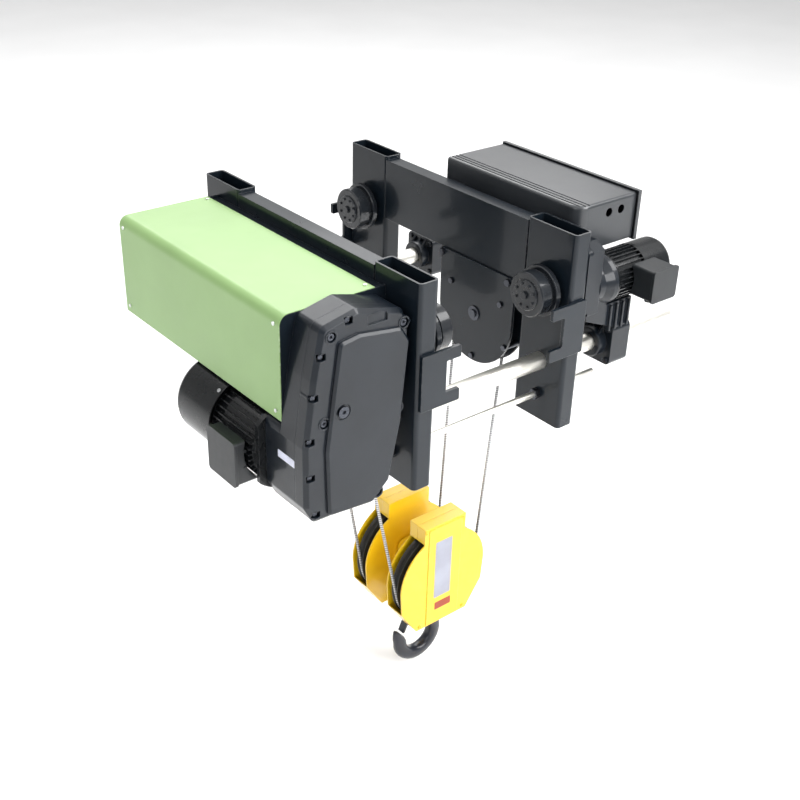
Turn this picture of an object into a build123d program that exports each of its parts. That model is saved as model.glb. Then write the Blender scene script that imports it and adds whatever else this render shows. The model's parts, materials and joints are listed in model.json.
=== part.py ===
from build123d import *
import os
from math import acos, atan2, cos, degrees, hypot, pi, radians, sin

# Electric wire rope hoist on an underslung trolley, 4/1 reeving, all sizes in millimetres.
# Frame: the origin is on the running surface of the girder flange, midway between the four
# wheels. X runs across the girder, Y along it, Z up. The drum side is -X and the gearbox end -Y.

os.makedirs("parts", exist_ok=True)

# --- driving dimensions ------------------------------------------------------------------
WHEEL_R = 62.5            # tread radius, so the wheel axes stand this high over the flange
WHEEL_Y = 394             # half the wheelbase
AXLE_R = 20
POST_X, POST_Y, POST_WALL = 60, 180, 6
POST_MID = 262            # distance of a post's centre from the girder's middle plane
POST_IN, POST_OUT = POST_MID - POST_X / 2, POST_MID + POST_X / 2
POST_TOP, POST_BOTTOM = 239, -338
BEAM_T, BEAM_TOP, BEAM_BOTTOM = 45, 229, 44
ROD_R, ROD_Z, ROD_LEFT, ROD_RIGHT = 25, -156, -300, 767
TIE_R, TIE_Z, TIE_RIGHT = 9, -261, 459
ROPE_R = 4.5
RUN = 0.08                # radial running clearance of a shaft in its bearing
GAP = 0.3                 # clearance between a rope and the groove that it runs in

BLOCK = (28, -147, -893)  # middle of the hook block on its sheave axis
SHEAVE_SPAN = 172         # distance between the planes of the two block sheaves
NEAR_Y, FAR_Y = BLOCK[1] - SHEAVE_SPAN / 2, BLOCK[1] + SHEAVE_SPAN / 2
BLOCK_PITCH_R = 157
RETURN = (255, -125, -113)
RETURN_PITCH_R = 108
DRUM_X, DRUM_Z, DRUM_PITCH_R = -452, 55, 105
DRUM_TURN = 10.5          # distance from one rope turn to the next along the drum
ANCHOR = (-269, -30, -45)

PLATE_X0, PLATE_X1, PLATE_Z0, PLATE_Z1 = -602, -POST_OUT, -82, 196
PLATE_NEAR, PLATE_FAR, PLATE_T = -345, 410, 10
MOTOR_X, MOTOR_Z = -545, -200
TRAVEL_Y, TRAVEL_Z = -428, 60
CASE_X0, CASE_X1, CASE_Y0, CASE_Y1, CASE_Z0, CASE_Z1 = 310, 535, -414, 115, 147, 276


# --- helpers that add or cut plain stock in the part that is being built ---------------------
def save(builder, label):
    builder.part.label = label
    export_step(builder.part, f"parts/{label}.step")


def bar_x(x0, x1, y, z, radius, mode=Mode.ADD):
    with Locations(Location(((x0 + x1) / 2, y, z), (0, 90, 0))):
        Cylinder(radius, abs(x1 - x0), mode=mode)


def bar_y(x, y0, y1, z, radius, mode=Mode.ADD):
    with Locations(Location((x, (y0 + y1) / 2, z), (90, 0, 0))):
        Cylinder(radius, abs(y1 - y0), mode=mode)


def bar_z(x, y, z0, z1, radius, mode=Mode.ADD):
    with Locations((x, y, (z0 + z1) / 2)):
        Cylinder(radius, abs(z1 - z0), mode=mode)


def block(x0, x1, y0, y1, z0, z1, mode=Mode.ADD):
    with Locations(((x0 + x1) / 2, (y0 + y1) / 2, (z0 + z1) / 2)):
        Box(abs(x1 - x0), abs(y1 - y0), abs(z1 - z0), mode=mode)


def spin_x(y, z, points, mode=Mode.ADD):
    """Turns a profile of (x, radius) points about a line along X."""
    with BuildSketch(Plane(origin=(0, y, z), x_dir=(1, 0, 0), z_dir=(0, -1, 0))) as profile:
        with BuildLine():
            Polyline(*points, close=True)
        make_face()
    revolve(profile.sketch, axis=Axis((0, y, z), (1, 0, 0)), mode=mode)


def spin_y(x, z, points, mode=Mode.ADD):
    """Turns a profile of (y, radius) points about a line along Y."""
    with BuildSketch(Plane(origin=(x, 0, z), x_dir=(0, 1, 0), z_dir=(1, 0, 0))) as profile:
        with BuildLine():
            Polyline(*points, close=True)
        make_face()
    revolve(profile.sketch, axis=Axis((x, 0, z), (0, 1, 0)), mode=mode)


def plate_y(points, y0, y1, corner=0, mode=Mode.ADD):
    """Extrudes an outline of (x, z) points from y0 to y1, with its corners rounded."""
    with BuildSketch(Plane.XZ.offset(-max(y0, y1))) as profile:
        with BuildLine():
            Polyline(*points, close=True)
        make_face()
        if corner:
            fillet(profile.vertices(), radius=corner)
    extrude(profile.sketch, amount=abs(y1 - y0), mode=mode)


def plate_x(points, x0, x1, corner=0, mode=Mode.ADD):
    """Extrudes an outline of (y, z) points from x0 to x1, with its corners rounded."""
    with BuildSketch(Plane.YZ.offset(x0)) as profile:
        with BuildLine():
            Polyline(*points, close=True)
        make_face()
        if corner:
            fillet(profile.vertices(), radius=corner)
    extrude(profile.sketch, amount=x1 - x0, mode=mode)


def toothed(plane, centre, radius, teeth, thickness, bore=0):
    """A spur gear whose teeth are cut inward from its outer radius."""
    depth = 4.4 * radius / teeth
    outline = []
    for tooth in range(teeth):
        for share, reach in ((0.0, radius - depth), (0.18, radius), (0.42, radius), (0.6, radius - depth)):
            angle = 2 * pi * (tooth + share) / teeth
            outline.append((centre[0] + reach * cos(angle), centre[1] + reach * sin(angle)))
    with BuildSketch(plane) as profile:
        with BuildLine():
            Polyline(*outline, close=True)
        make_face()
        if bore:
            with Locations(centre):
                Circle(bore, mode=Mode.SUBTRACT)
    extrude(profile.sketch, amount=thickness)


def nut_x(x0, x1, y, z, across, bore=0):
    with BuildSketch(Plane.YZ.offset(x0)) as profile:
        with Locations((y, z)):
            RegularPolygon(across / 2, 6, major_radius=False)
            if bore:
                Circle(bore, mode=Mode.SUBTRACT)
    extrude(profile.sketch, amount=x1 - x0)


# --- rope geometry: where the straight falls touch the drum and the sheaves --------------------
def tangent_angle(point, centre, radius, side):
    """Angle at which a line from point touches a circle, on its right (1) or left (-1) side."""
    dx, dz = point[0] - centre[0], point[1] - centre[1]
    return atan2(dz, dx) - side * acos(radius / hypot(dx, dz))


def on_circle(centre, radius, angle):
    return (centre[0] + radius * cos(angle), centre[1] + radius * sin(angle))


block_centre = (BLOCK[0], BLOCK[2])
drum_dx, drum_dz = BLOCK[0] - DRUM_X, BLOCK[2] - DRUM_Z
cross_angle = (acos((DRUM_PITCH_R + BLOCK_PITCH_R) / hypot(drum_dx, drum_dz)) + atan2(drum_dz, drum_dx))
drum_top = on_circle((DRUM_X, DRUM_Z), DRUM_PITCH_R, cross_angle)
near_left_angle = cross_angle + pi
near_left = on_circle(block_centre, BLOCK_PITCH_R, near_left_angle)
right_angle = tangent_angle((RETURN[0], RETURN[2]), block_centre, BLOCK_PITCH_R, 1)
right_touch = on_circle(block_centre, BLOCK_PITCH_R, right_angle)
far_left_angle = tangent_angle((ANCHOR[0], ANCHOR[2]), block_centre, BLOCK_PITCH_R, -1)
far_left = on_circle(block_centre, BLOCK_PITCH_R, far_left_angle)


# --- trolley frames ------------------------------------------------------------------------
def side_frame(side, beam_x0, beam_x1):
    """Two hollow posts joined by a hollow cross-beam, with the holes for axles and rods."""
    near_face = WHEEL_Y - POST_Y / 2
    for end in (-1, 1):
        with BuildSketch(Plane.XY.offset(POST_BOTTOM)) as section:
            with Locations((side * POST_MID, end * WHEEL_Y)):
                RectangleRounded(POST_X, POST_Y, 12)
                RectangleRounded(POST_X - 2 * POST_WALL, POST_Y - 2 * POST_WALL, 6, mode=Mode.SUBTRACT)
        extrude(section.sketch, amount=POST_TOP - POST_BOTTOM)
    for end in (-1, 1):
        block(beam_x0, beam_x1, end * 1, end * (near_face + POST_WALL / 2), BEAM_BOTTOM, BEAM_TOP)
    block(beam_x0, beam_x1, -1, 1, BEAM_BOTTOM, BEAM_TOP)
    wall = 6
    block(beam_x0 + wall, beam_x1 - wall, -near_face + 2, near_face - 2, BEAM_BOTTOM + wall,
          BEAM_TOP - wall, mode=Mode.SUBTRACT)
    for end in (-1, 1):
        y = end * WHEEL_Y
        span = (side * (POST_IN - 10), side * (POST_OUT + 10))
        bar_x(*span, y, WHEEL_R, AXLE_R + RUN, mode=Mode.SUBTRACT)
        bar_x(*span, y, ROD_Z, ROD_R + RUN, mode=Mode.SUBTRACT)
        bar_x(*span, y, TIE_Z, TIE_R + RUN, mode=Mode.SUBTRACT)


with BuildPart() as left_frame:
    side_frame(-1, -POST_OUT, -POST_OUT + BEAM_T)
save(left_frame, "left_frame")

RIGHT_BEAM_X1 = POST_IN + BEAM_T
HANGER_Y = (-255, 25)      # hanger lugs of the return sheave, under the right beam
LUG_X0, LUG_X1 = RETURN[0] - 21, RETURN[0] + 21
with BuildPart() as right_frame:
    side_frame(1, POST_IN, RIGHT_BEAM_X1)
    for lug_y in HANGER_Y:
        block(LUG_X0, LUG_X1, lug_y - 12, lug_y + 12, 18, BEAM_BOTTOM)
        bar_x(LUG_X0 - 1, LUG_X1 + 1, lug_y, 30, 6 + RUN, mode=Mode.SUBTRACT)
    for arm_y in (-260, 60):
        block(RIGHT_BEAM_X1, CASE_X0, arm_y - 25, arm_y + 25, 165, 215)
save(right_frame, "right_frame")

CATCH_T, CATCH_TIP, CATCH_BACK, CATCH_OUT = 10, 160, 206, 286
with BuildPart() as catch_plates:
    for side in (-1, 1):
        hook_outline = [(CATCH_TIP, 18), (CATCH_TIP, 50), (CATCH_OUT, 50), (CATCH_OUT, -104),
                        (CATCH_TIP, -104), (CATCH_TIP, -70), (CATCH_BACK, -70), (CATCH_BACK, 18)]
        mirrored = [(side * x, z) for x, z in hook_outline]
        face = WHEEL_Y + POST_Y / 2
        for end in (-1, 1):
            plate_y(mirrored, end * face, end * (face + CATCH_T), corner=4)
save(catch_plates, "catch_plates")

with BuildPart() as guide_rods:
    for end in (-1, 1):
        bar_x(ROD_LEFT, ROD_RIGHT, end * WHEEL_Y, ROD_Z, ROD_R)
    chamfer(guide_rods.edges().filter_by(GeomType.CIRCLE), length=2.5)
save(guide_rods, "guide_rods")

with BuildPart() as tie_rods:
    for end in (-1, 1):
        bar_x(-POST_OUT - 26, TIE_RIGHT, end * WHEEL_Y, TIE_Z, TIE_R)
    chamfer(tie_rods.edges().filter_by(GeomType.CIRCLE), length=1.5)
save(tie_rods, "tie_rods")

GUARD_T = 8
GUARD_FRONT, GUARD_BACK = RETURN[0] - 29, RETURN[0] + 29
SPACERS = ((-105, 66), (105, 66), (-132, -60), (132, -60), (0, -138))   # from the sheave's axis
with BuildPart() as frame_fasteners:
    for end in (-1, 1):
        for x0 in (-POST_OUT - 15, -POST_IN + 0.1, POST_IN - 15.1, POST_OUT + 0.1):
            nut_x(x0, x0 + 15, end * WHEEL_Y, TIE_Z, 28, TIE_R + RUN)
    for lug_y in HANGER_Y:
        bar_x(GUARD_FRONT - 0.1, GUARD_BACK + 12, lug_y, 30, 6)
        nut_x(GUARD_FRONT - 8, GUARD_FRONT - 0.1, lug_y, 30, 19)
        nut_x(GUARD_BACK + 0.1, GUARD_BACK + 10, lug_y, 30, 19)
    for dy, dz in SPACERS:
        y, z = RETURN[1] + dy, RETURN[2] + dz
        bar_x(GUARD_FRONT + GUARD_T + 0.1, GUARD_BACK - GUARD_T - 0.1, y, z, 8)
        bar_x(GUARD_FRONT - 0.1, GUARD_BACK + 0.1, y, z, 5)
        nut_x(GUARD_FRONT - 6, GUARD_FRONT - 0.1, y, z, 16)
        nut_x(GUARD_BACK + 0.1, GUARD_BACK + 6, y, z, 16)
save(frame_fasteners, "frame_fasteners")

CLAMP_X0, CLAMP_X1, CLAMP_HALF = 455, 528, 63
with BuildPart() as clamp_blocks:
    for end in (-1, 1):
        y = end * WHEEL_Y
        with BuildSketch(Plane.YZ.offset(CLAMP_X0)) as square:
            with Locations((y, ROD_Z)):
                RectangleRounded(2 * CLAMP_HALF, 2 * CLAMP_HALF, 16)
        extrude(square.sketch, amount=CLAMP_X1 - CLAMP_X0)
        spin_x(y, ROD_Z, [(425, 0), (425, 42), (428, 45), (CLAMP_X0, 45), (CLAMP_X0, 0)])
        for rib_y in (-26, 0, 26):
            plate_y([(432, ROD_Z + 30), (CLAMP_X0 + 2, ROD_Z + 30), (CLAMP_X0 + 2, ROD_Z + 60)],
                    y + rib_y - 4, y + rib_y + 4)
        for turn in range(4):
            angle = radians(45 + 90 * turn)
            bar_x(CLAMP_X0 - 6, CLAMP_X0 + 1, y + 68 * cos(angle), ROD_Z + 68 * sin(angle), 8)
        bar_x(420, CLAMP_X1 + 5, y, ROD_Z, ROD_R + RUN, mode=Mode.SUBTRACT)
save(clamp_blocks, "clamp_blocks")


# --- wheels --------------------------------------------------------------------------------
def wheel(side, end):
    """A trolley wheel: cap, tread, groove, flange against the frame and hub, on its bore."""
    y = end * WHEEL_Y
    profile = [(149, 0), (149, 40), (152, 43), (155, 43), (155, 59), (158.5, WHEEL_R), (190, WHEEL_R),
               (192, 57), (199, 57), (199, 69), (201, 71), (213, 71), (215, 69), (215, 38),
               (226, 38), (226, AXLE_R + RUN), (170, AXLE_R + RUN), (170, 0)]
    spin_x(y, WHEEL_R, [(side * x, r) for x, r in profile])
    for screw in range(8):
        angle = radians(22.5 + 45 * screw)
        bar_x(side * 145, side * 150, y + 33 * cos(angle), WHEEL_R + 33 * sin(angle), 4)
    bar_x(side * 143, side * 150, y, WHEEL_R, 11)


WHEELS = {"wheel_right_near": (1, -1), "wheel_right_far": (1, 1),
          "wheel_left_near": (-1, -1), "wheel_left_far": (-1, 1)}
for wheel_name, (side, end) in WHEELS.items():
    with BuildPart() as trolley_wheel:
        wheel(side, end)
    save(trolley_wheel, wheel_name)

with BuildPart() as wheel_axles:
    for side, end in ((1, 1), (-1, -1), (-1, 1)):
        bar_x(side * 172, side * (POST_OUT - 1), end * WHEEL_Y, WHEEL_R, AXLE_R)
        bar_x(side * 226.5, side * POST_IN, end * WHEEL_Y, WHEEL_R, 30)
save(wheel_axles, "wheel_axles")


# --- return sheave under the right beam --------------------------------------------------------
def sheave_profile(pitch_r, hub_r, bore, rim_r):
    """Half section of a sheave, as (along, radius) points: hub, web, rim and V groove."""
    bottom = pitch_r - ROPE_R - GAP - 0.1
    rim_in = bottom - 12
    return [(-15, bore), (-15, hub_r), (-5, hub_r + 4), (-5, rim_in), (-13, rim_in), (-13, rim_r),
            (-11.5, rim_r), (-6.8, pitch_r - 1), (-3.6, bottom), (3.6, bottom), (6.8, pitch_r - 1),
            (11.5, rim_r), (13, rim_r), (13, rim_in), (5, rim_in), (5, hub_r + 4), (15, hub_r), (15, bore)]


RETURN_AXLE_R, RETURN_BEARING_R = 20, 36
with BuildPart() as return_sheave:
    profile = sheave_profile(RETURN_PITCH_R, 48, RETURN_BEARING_R + RUN, RETURN_PITCH_R + 8)
    spin_x(RETURN[1], RETURN[2], [(RETURN[0] + x, r) for x, r in profile])
    for hole in range(6):
        angle = radians(60 * hole)
        bar_x(RETURN[0] - 10, RETURN[0] + 10, RETURN[1] + 72 * cos(angle), RETURN[2] + 72 * sin(angle), 14,
              mode=Mode.SUBTRACT)
save(return_sheave, "return_sheave")

with BuildPart() as return_axle:
    bar_x(GUARD_FRONT - 3, GUARD_BACK + 3, RETURN[1], RETURN[2], RETURN_AXLE_R)
    bar_x(GUARD_FRONT - 4, GUARD_FRONT - 0.1, RETURN[1], RETURN[2], 22)
    bar_x(GUARD_FRONT - 9, GUARD_FRONT - 3, RETURN[1], RETURN[2], 12)
    bar_x(GUARD_BACK + 0.1, GUARD_BACK + 8, RETURN[1], RETURN[2], 27)
save(return_axle, "return_axle")

GUARD_HALF, GUARD_LOW = 156, -266
with BuildPart() as guard_plates:
    for x0 in (GUARD_FRONT, GUARD_BACK - GUARD_T):
        with BuildSketch(Plane.YZ.offset(x0)) as outline:
            with BuildLine():
                top_left = (RETURN[1] - GUARD_HALF, BEAM_BOTTOM - 0.5)
                top_right = (RETURN[1] + GUARD_HALF, BEAM_BOTTOM - 0.5)
                low_left = (RETURN[1] - GUARD_HALF + 3, RETURN[2])
                low_right = (RETURN[1] + GUARD_HALF - 3, RETURN[2])
                Line(top_left, low_left)
                ThreePointArc(low_left, (RETURN[1], GUARD_LOW), low_right)
                Line(low_right, top_right)
                Line(top_right, top_left)
            make_face()
        extrude(outline.sketch, amount=GUARD_T)
        bar_x(x0 - 1, x0 + GUARD_T + 1, RETURN[1], RETURN[2], RETURN_AXLE_R + RUN, mode=Mode.SUBTRACT)
        for lug_y in HANGER_Y:
            bar_x(x0 - 1, x0 + GUARD_T + 1, lug_y, 30, 6 + RUN, mode=Mode.SUBTRACT)
        for dy, dz in SPACERS:
            bar_x(x0 - 1, x0 + GUARD_T + 1, RETURN[1] + dy, RETURN[2] + dz, 5 + RUN, mode=Mode.SUBTRACT)
save(guard_plates, "guard_plates")

LEAD_TURN = 330            # degrees of rope between the coil and the point where the fall leaves
with BuildPart() as rope_fixed_turns:
    with BuildSketch(Plane(origin=(RETURN[0], RETURN[1] + RETURN_PITCH_R, RETURN[2]),
                           x_dir=(1, 0, 0), z_dir=(0, 0, 1))) as rope_section:
        Circle(ROPE_R)
    revolve(rope_section.sketch, axis=Axis(RETURN, (1, 0, 0)), revolution_arc=180)
    outward = (cos(cross_angle), 0, sin(cross_angle))
    with BuildSketch(Plane(origin=(drum_top[0], NEAR_Y, drum_top[1]), x_dir=outward,
                           z_dir=(-sin(cross_angle), 0, cos(cross_angle)))) as lead_section:
        Circle(ROPE_R)
    revolve(lead_section.sketch, axis=Axis((DRUM_X, NEAR_Y, DRUM_Z), (0, -1, 0)), revolution_arc=LEAD_TURN)
save(rope_fixed_turns, "rope_fixed_turns")


# --- rope falls ----------------------------------------------------------------------------
def straight_rope(top, top_y, bottom, bottom_y, top_gap=GAP):
    """A straight fall that stops just short of the pieces of rope above and below it."""
    start, end = Vector(top[0], top_y, top[1]), Vector(bottom[0], bottom_y, bottom[1])
    run = (end - start).normalized()
    start, end = start + run * top_gap, end - run * 2 * GAP
    with BuildSketch(Plane(origin=start, z_dir=end - start)) as section:
        Circle(ROPE_R)
    extrude(section.sketch, amount=(end - start).length)


with BuildPart() as rope_fall_drum:
    straight_rope(drum_top, NEAR_Y, near_left, NEAR_Y)
save(rope_fall_drum, "rope_fall_drum")

with BuildPart() as rope_falls_return:
    straight_rope((RETURN[0], RETURN[2]), RETURN[1] - RETURN_PITCH_R, right_touch, NEAR_Y, top_gap=0.8)
    straight_rope((RETURN[0], RETURN[2]), RETURN[1] + RETURN_PITCH_R, right_touch, FAR_Y, top_gap=0.8)
save(rope_falls_return, "rope_falls_return")

with BuildPart() as rope_fall_anchor:
    straight_rope((ANCHOR[0], ANCHOR[2]), ANCHOR[1], far_left, FAR_Y, top_gap=1)
save(rope_fall_anchor, "rope_fall_anchor")


def wrap_under_sheave(y, start_angle, end_angle):
    """Rope lying in the lower half of a block sheave, from one touching point to the other."""
    outward = (cos(start_angle), 0, sin(start_angle))
    onward = (-sin(start_angle), 0, cos(start_angle))
    centre = Vector(BLOCK[0], y, BLOCK[2])
    start = centre + Vector(*outward) * BLOCK_PITCH_R
    with BuildSketch(Plane(origin=start, x_dir=outward, z_dir=onward)) as section:
        Circle(ROPE_R)
    sweep_angle = degrees(end_angle - start_angle) % 360
    revolve(section.sketch, axis=Axis(centre, (0, -1, 0)), revolution_arc=sweep_angle)


with BuildPart() as rope_wrap_block:
    wrap_under_sheave(NEAR_Y, near_left_angle, right_angle)
    wrap_under_sheave(FAR_Y, far_left_angle, right_angle)
save(rope_wrap_block, "rope_wrap_block")

with BuildPart() as rope_anchor:
    plate_y([(ANCHOR[0] - 14, BEAM_BOTTOM - 24), (ANCHOR[0] + 14, BEAM_BOTTOM - 24),
             (ANCHOR[0] + 10, ANCHOR[2]), (ANCHOR[0] - 10, ANCHOR[2])], ANCHOR[1] - 11, ANCHOR[1] + 11, corner=3)
    for cheek in (-16, 11):
        block(ANCHOR[0] - 16, ANCHOR[0] + 16, ANCHOR[1] + cheek, ANCHOR[1] + cheek + 5, -8, BEAM_BOTTOM - 6)
    block(ANCHOR[0] - 20, ANCHOR[0] + 20, ANCHOR[1] - 24, ANCHOR[1] + 24, BEAM_BOTTOM - 6, BEAM_BOTTOM)
    bar_y(ANCHOR[0], ANCHOR[1] - 21, ANCHOR[1] + 21, 6, 6)
save(rope_anchor, "rope_anchor")


# --- drum side: frame, cover, drum and rope guide -----------------------------------------------
COVER_R = 27               # outer radius of the cover's and end plates' rounded corner
SHAFT_R = 30
GUIDE_BAR_X, GUIDE_BAR_Z, GUIDE_BAR_R = -547, 150, 7
RAIL_T = 6
COVER_T = 2
LAP = COVER_T + 0.1        # the cover wraps round the end plates, which are smaller by this much


def end_plate(y0, bore):
    with BuildSketch(Plane.XZ.offset(-(y0 + PLATE_T))) as outline:
        with BuildLine():
            Polyline((PLATE_X0 + LAP, PLATE_Z0), (PLATE_X1, PLATE_Z0), (PLATE_X1, PLATE_Z1 - LAP),
                     (PLATE_X0 + LAP, PLATE_Z1 - LAP), close=True)
        make_face()
        fillet(outline.vertices().sort_by(Axis.X)[:2].sort_by(Axis.Y)[-1], radius=COVER_R - LAP)
    extrude(outline.sketch, amount=PLATE_T)
    bar_y(DRUM_X, y0 - 1, y0 + PLATE_T + 1, DRUM_Z, bore, mode=Mode.SUBTRACT)


with BuildPart() as drum_frame:
    end_plate(PLATE_NEAR - PLATE_T, SHAFT_R + RUN)
    end_plate(PLATE_FAR, 42 + RUN)
    block(-325, -319, PLATE_NEAR - 1, PLATE_FAR + 1, 150, 190)
    block(-325, PLATE_X1, PLATE_NEAR - 1, PLATE_FAR + 1, 190 - RAIL_T, 190)
    block(-597, -567, PLATE_NEAR - 1, PLATE_FAR + 1, PLATE_Z0, PLATE_Z0 + RAIL_T)
    bar_y(GUIDE_BAR_X, PLATE_NEAR - 1, PLATE_FAR + 1, GUIDE_BAR_Z, GUIDE_BAR_R)
save(drum_frame, "drum_frame")

with BuildPart() as drum_cover:
    with BuildSketch(Plane.XZ.offset(-PLATE_FAR - PLATE_T + 1)) as sheet:
        with BuildLine():
            side_line = Line((PLATE_X0, PLATE_Z0), (PLATE_X0, PLATE_Z1 - COVER_R))
            bend = RadiusArc(side_line @ 1, (PLATE_X0 + COVER_R, PLATE_Z1), COVER_R)
            top_line = Line(bend @ 1, (-325, PLATE_Z1))
            inner_top = Line(top_line @ 1, (-325, PLATE_Z1 - COVER_T))
            inner_run = Line(inner_top @ 1, (PLATE_X0 + COVER_R, PLATE_Z1 - COVER_T))
            inner_bend = RadiusArc(inner_run @ 1, (PLATE_X0 + COVER_T, PLATE_Z1 - COVER_R),
                                   -(COVER_R - COVER_T))
            inner_side = Line(inner_bend @ 1, (PLATE_X0 + COVER_T, PLATE_Z0))
            Line(inner_side @ 1, side_line @ 0)
        make_face()
    extrude(sheet.sketch, amount=PLATE_FAR - PLATE_NEAR + 2 * PLATE_T - 2)
save(drum_cover, "drum_cover")

DRUM_Y0, DRUM_Y1 = -300, 378
COIL_Y0, COIL_TURNS = NEAR_Y + DRUM_TURN / 2, 35
GROOVE_R = DRUM_PITCH_R - ROPE_R - GAP
COIL_Y1 = COIL_Y0 + COIL_TURNS * DRUM_TURN
DRUM_R = DRUM_PITCH_R - 0.1
with BuildPart() as drum:
    spin_y(DRUM_X, DRUM_Z, [
        (DRUM_Y0 - 8, SHAFT_R), (DRUM_Y0 - 8, 118), (DRUM_Y0, 118), (DRUM_Y0, DRUM_R),
        (DRUM_Y1, DRUM_R), (DRUM_Y1, 118), (DRUM_Y1 + 8, 118), (DRUM_Y1 + 8, 26), (PLATE_FAR + 16, 26),
        (PLATE_FAR + 16, 0), (DRUM_Y1 - 6, 0), (DRUM_Y1 - 6, 92), (DRUM_Y0 + 12, 92), (DRUM_Y0 + 12, 0),
        (-396, 0), (-396, 15), (-366, 15), (-366, SHAFT_R)])
    for turn in range(-5, COIL_TURNS + 21):
        groove_y = NEAR_Y + turn * DRUM_TURN
        if turn <= 0 or turn > COIL_TURNS:
            spin_y(DRUM_X, DRUM_Z, [(groove_y - 4.9, DRUM_R + 1), (groove_y + 4.9, DRUM_R + 1),
                                    (groove_y + 4.9, GROOVE_R), (groove_y - 4.9, GROOVE_R)], mode=Mode.SUBTRACT)
save(drum, "drum")

with BuildPart() as rope_coil:
    with BuildSketch(Plane(origin=(DRUM_X, 0, DRUM_Z), x_dir=(0, 1, 0), z_dir=(1, 0, 0))) as turns:
        with BuildLine():
            for turn in range(COIL_TURNS):
                start_y = COIL_Y0 + turn * DRUM_TURN
                ThreePointArc((start_y, DRUM_PITCH_R + 1), (start_y + DRUM_TURN / 2, DRUM_PITCH_R + ROPE_R),
                              (start_y + DRUM_TURN, DRUM_PITCH_R + 1))
            Polyline((COIL_Y1, DRUM_PITCH_R + 1), (COIL_Y1, DRUM_PITCH_R), (COIL_Y0, DRUM_PITCH_R),
                     (COIL_Y0, DRUM_PITCH_R + 1))
        make_face()
    revolve(turns.sketch, axis=Axis((DRUM_X, 0, DRUM_Z), (0, 1, 0)))
save(rope_coil, "rope_coil")

GUIDE_IN, GUIDE_OUT, GUIDE_HALF = 112, 121, 16
with BuildPart() as rope_guide:
    spin_y(DRUM_X, DRUM_Z, [(NEAR_Y - GUIDE_HALF, GUIDE_IN), (NEAR_Y + GUIDE_HALF, GUIDE_IN),
                            (NEAR_Y + GUIDE_HALF, GUIDE_OUT), (NEAR_Y - GUIDE_HALF, GUIDE_OUT)])
    block(DRUM_X + 40, DRUM_X + 140, NEAR_Y - 20, NEAR_Y + 20, DRUM_Z - 108, DRUM_Z + 14, mode=Mode.SUBTRACT)
    bar_y(GUIDE_BAR_X, NEAR_Y - GUIDE_HALF, NEAR_Y + GUIDE_HALF, GUIDE_BAR_Z, GUIDE_BAR_R + 9)
    bar_y(GUIDE_BAR_X, NEAR_Y - 20, NEAR_Y + 20, GUIDE_BAR_Z, GUIDE_BAR_R + 0.1, mode=Mode.SUBTRACT)
    bar_y(DRUM_X, NEAR_Y - 20, NEAR_Y + 20, DRUM_Z, GUIDE_IN, mode=Mode.SUBTRACT)
save(rope_guide, "rope_guide")

with BuildPart() as journal_bearings:
    spin_y(DRUM_X, DRUM_Z, [(PLATE_FAR - 2, 26 + RUN), (PLATE_FAR + 12, 26 + RUN),
                            (PLATE_FAR + 12, 42), (PLATE_FAR - 2, 42)])
    spin_x(RETURN[1], RETURN[2], [(RETURN[0] - 14, RETURN_AXLE_R + RUN), (RETURN[0] + 14, RETURN_AXLE_R + RUN),
                                  (RETURN[0] + 14, RETURN_BEARING_R), (RETURN[0] - 14, RETURN_BEARING_R)])
save(journal_bearings, "journal_bearings")

# --- hoist gearbox -----------------------------------------------------------------------------
CASE_BACK, CASE_SPLIT, CASE_RIM, CASE_FACE = PLATE_NEAR - PLATE_T, -415, -458, -470
WALL = 8
OUTLINE = [(-556, 190), (-455, 212), (-318, 176), (-297, 118), (-316, -126), (-350, -286), (-400, -337),
           (-580, -332), (-607, -280), (-607, -112), (-582, 60)]
RAISED = [(-512, 144), (-455, 152), (-330, 134), (-306, 95), (-326, -126), (-358, -280), (-410, -330),
          (-545, -318), (-551, -132), (-530, 20)]
MOTOR_END = -290           # rear face of the gearbox's lower part, where the motor is bolted on
FLANGE_FACE = -276
SECOND = (-439.9, -66.5)   # (x, z) of the second gear shaft
FIRST = (-493.6, -138.7)   # (x, z) of the first gear shaft
STUB_R = 12


def inset(points, distance):
    """The outline moved inward by a distance, towards its middle."""
    middle_x = sum(x for x, z in points) / len(points)
    middle_z = sum(z for x, z in points) / len(points)
    moved = []
    for x, z in points:
        reach = hypot(x - middle_x, z - middle_z)
        moved.append((x - distance * (x - middle_x) / reach * 1.25, z - distance * (z - middle_z) / reach * 1.25))
    return moved


LOWER = [(-350, -286), (-400, -337), (-580, -332), (-607, -280), (-607, -112), (-600, -92), (-330, -92)]
with BuildPart() as gearbox_housing:
    plate_y(OUTLINE, CASE_SPLIT, CASE_BACK, corner=20)
    plate_y(LOWER, CASE_BACK - 1, MOTOR_END, corner=14)
    plate_y(inset(OUTLINE, WALL), CASE_SPLIT - 1, CASE_BACK - WALL, corner=14, mode=Mode.SUBTRACT)
    plate_y(inset(LOWER, WALL), CASE_BACK - 0.1, MOTOR_END - WALL, corner=8, mode=Mode.SUBTRACT)
    bar_y(DRUM_X, CASE_SPLIT, CASE_BACK + 1, DRUM_Z, SHAFT_R + RUN, mode=Mode.SUBTRACT)
    bar_y(MOTOR_X, CASE_SPLIT, CASE_BACK + 1, MOTOR_Z, 14 + RUN, mode=Mode.SUBTRACT)
    bar_y(MOTOR_X, CASE_BACK, MOTOR_END + 1, MOTOR_Z, 30, mode=Mode.SUBTRACT)
    for x, z in (SECOND, FIRST):
        bar_y(x, CASE_BACK - WALL - 1, CASE_BACK - 2, z, STUB_R + RUN, mode=Mode.SUBTRACT)
save(gearbox_housing, "gearbox_housing")

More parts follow.
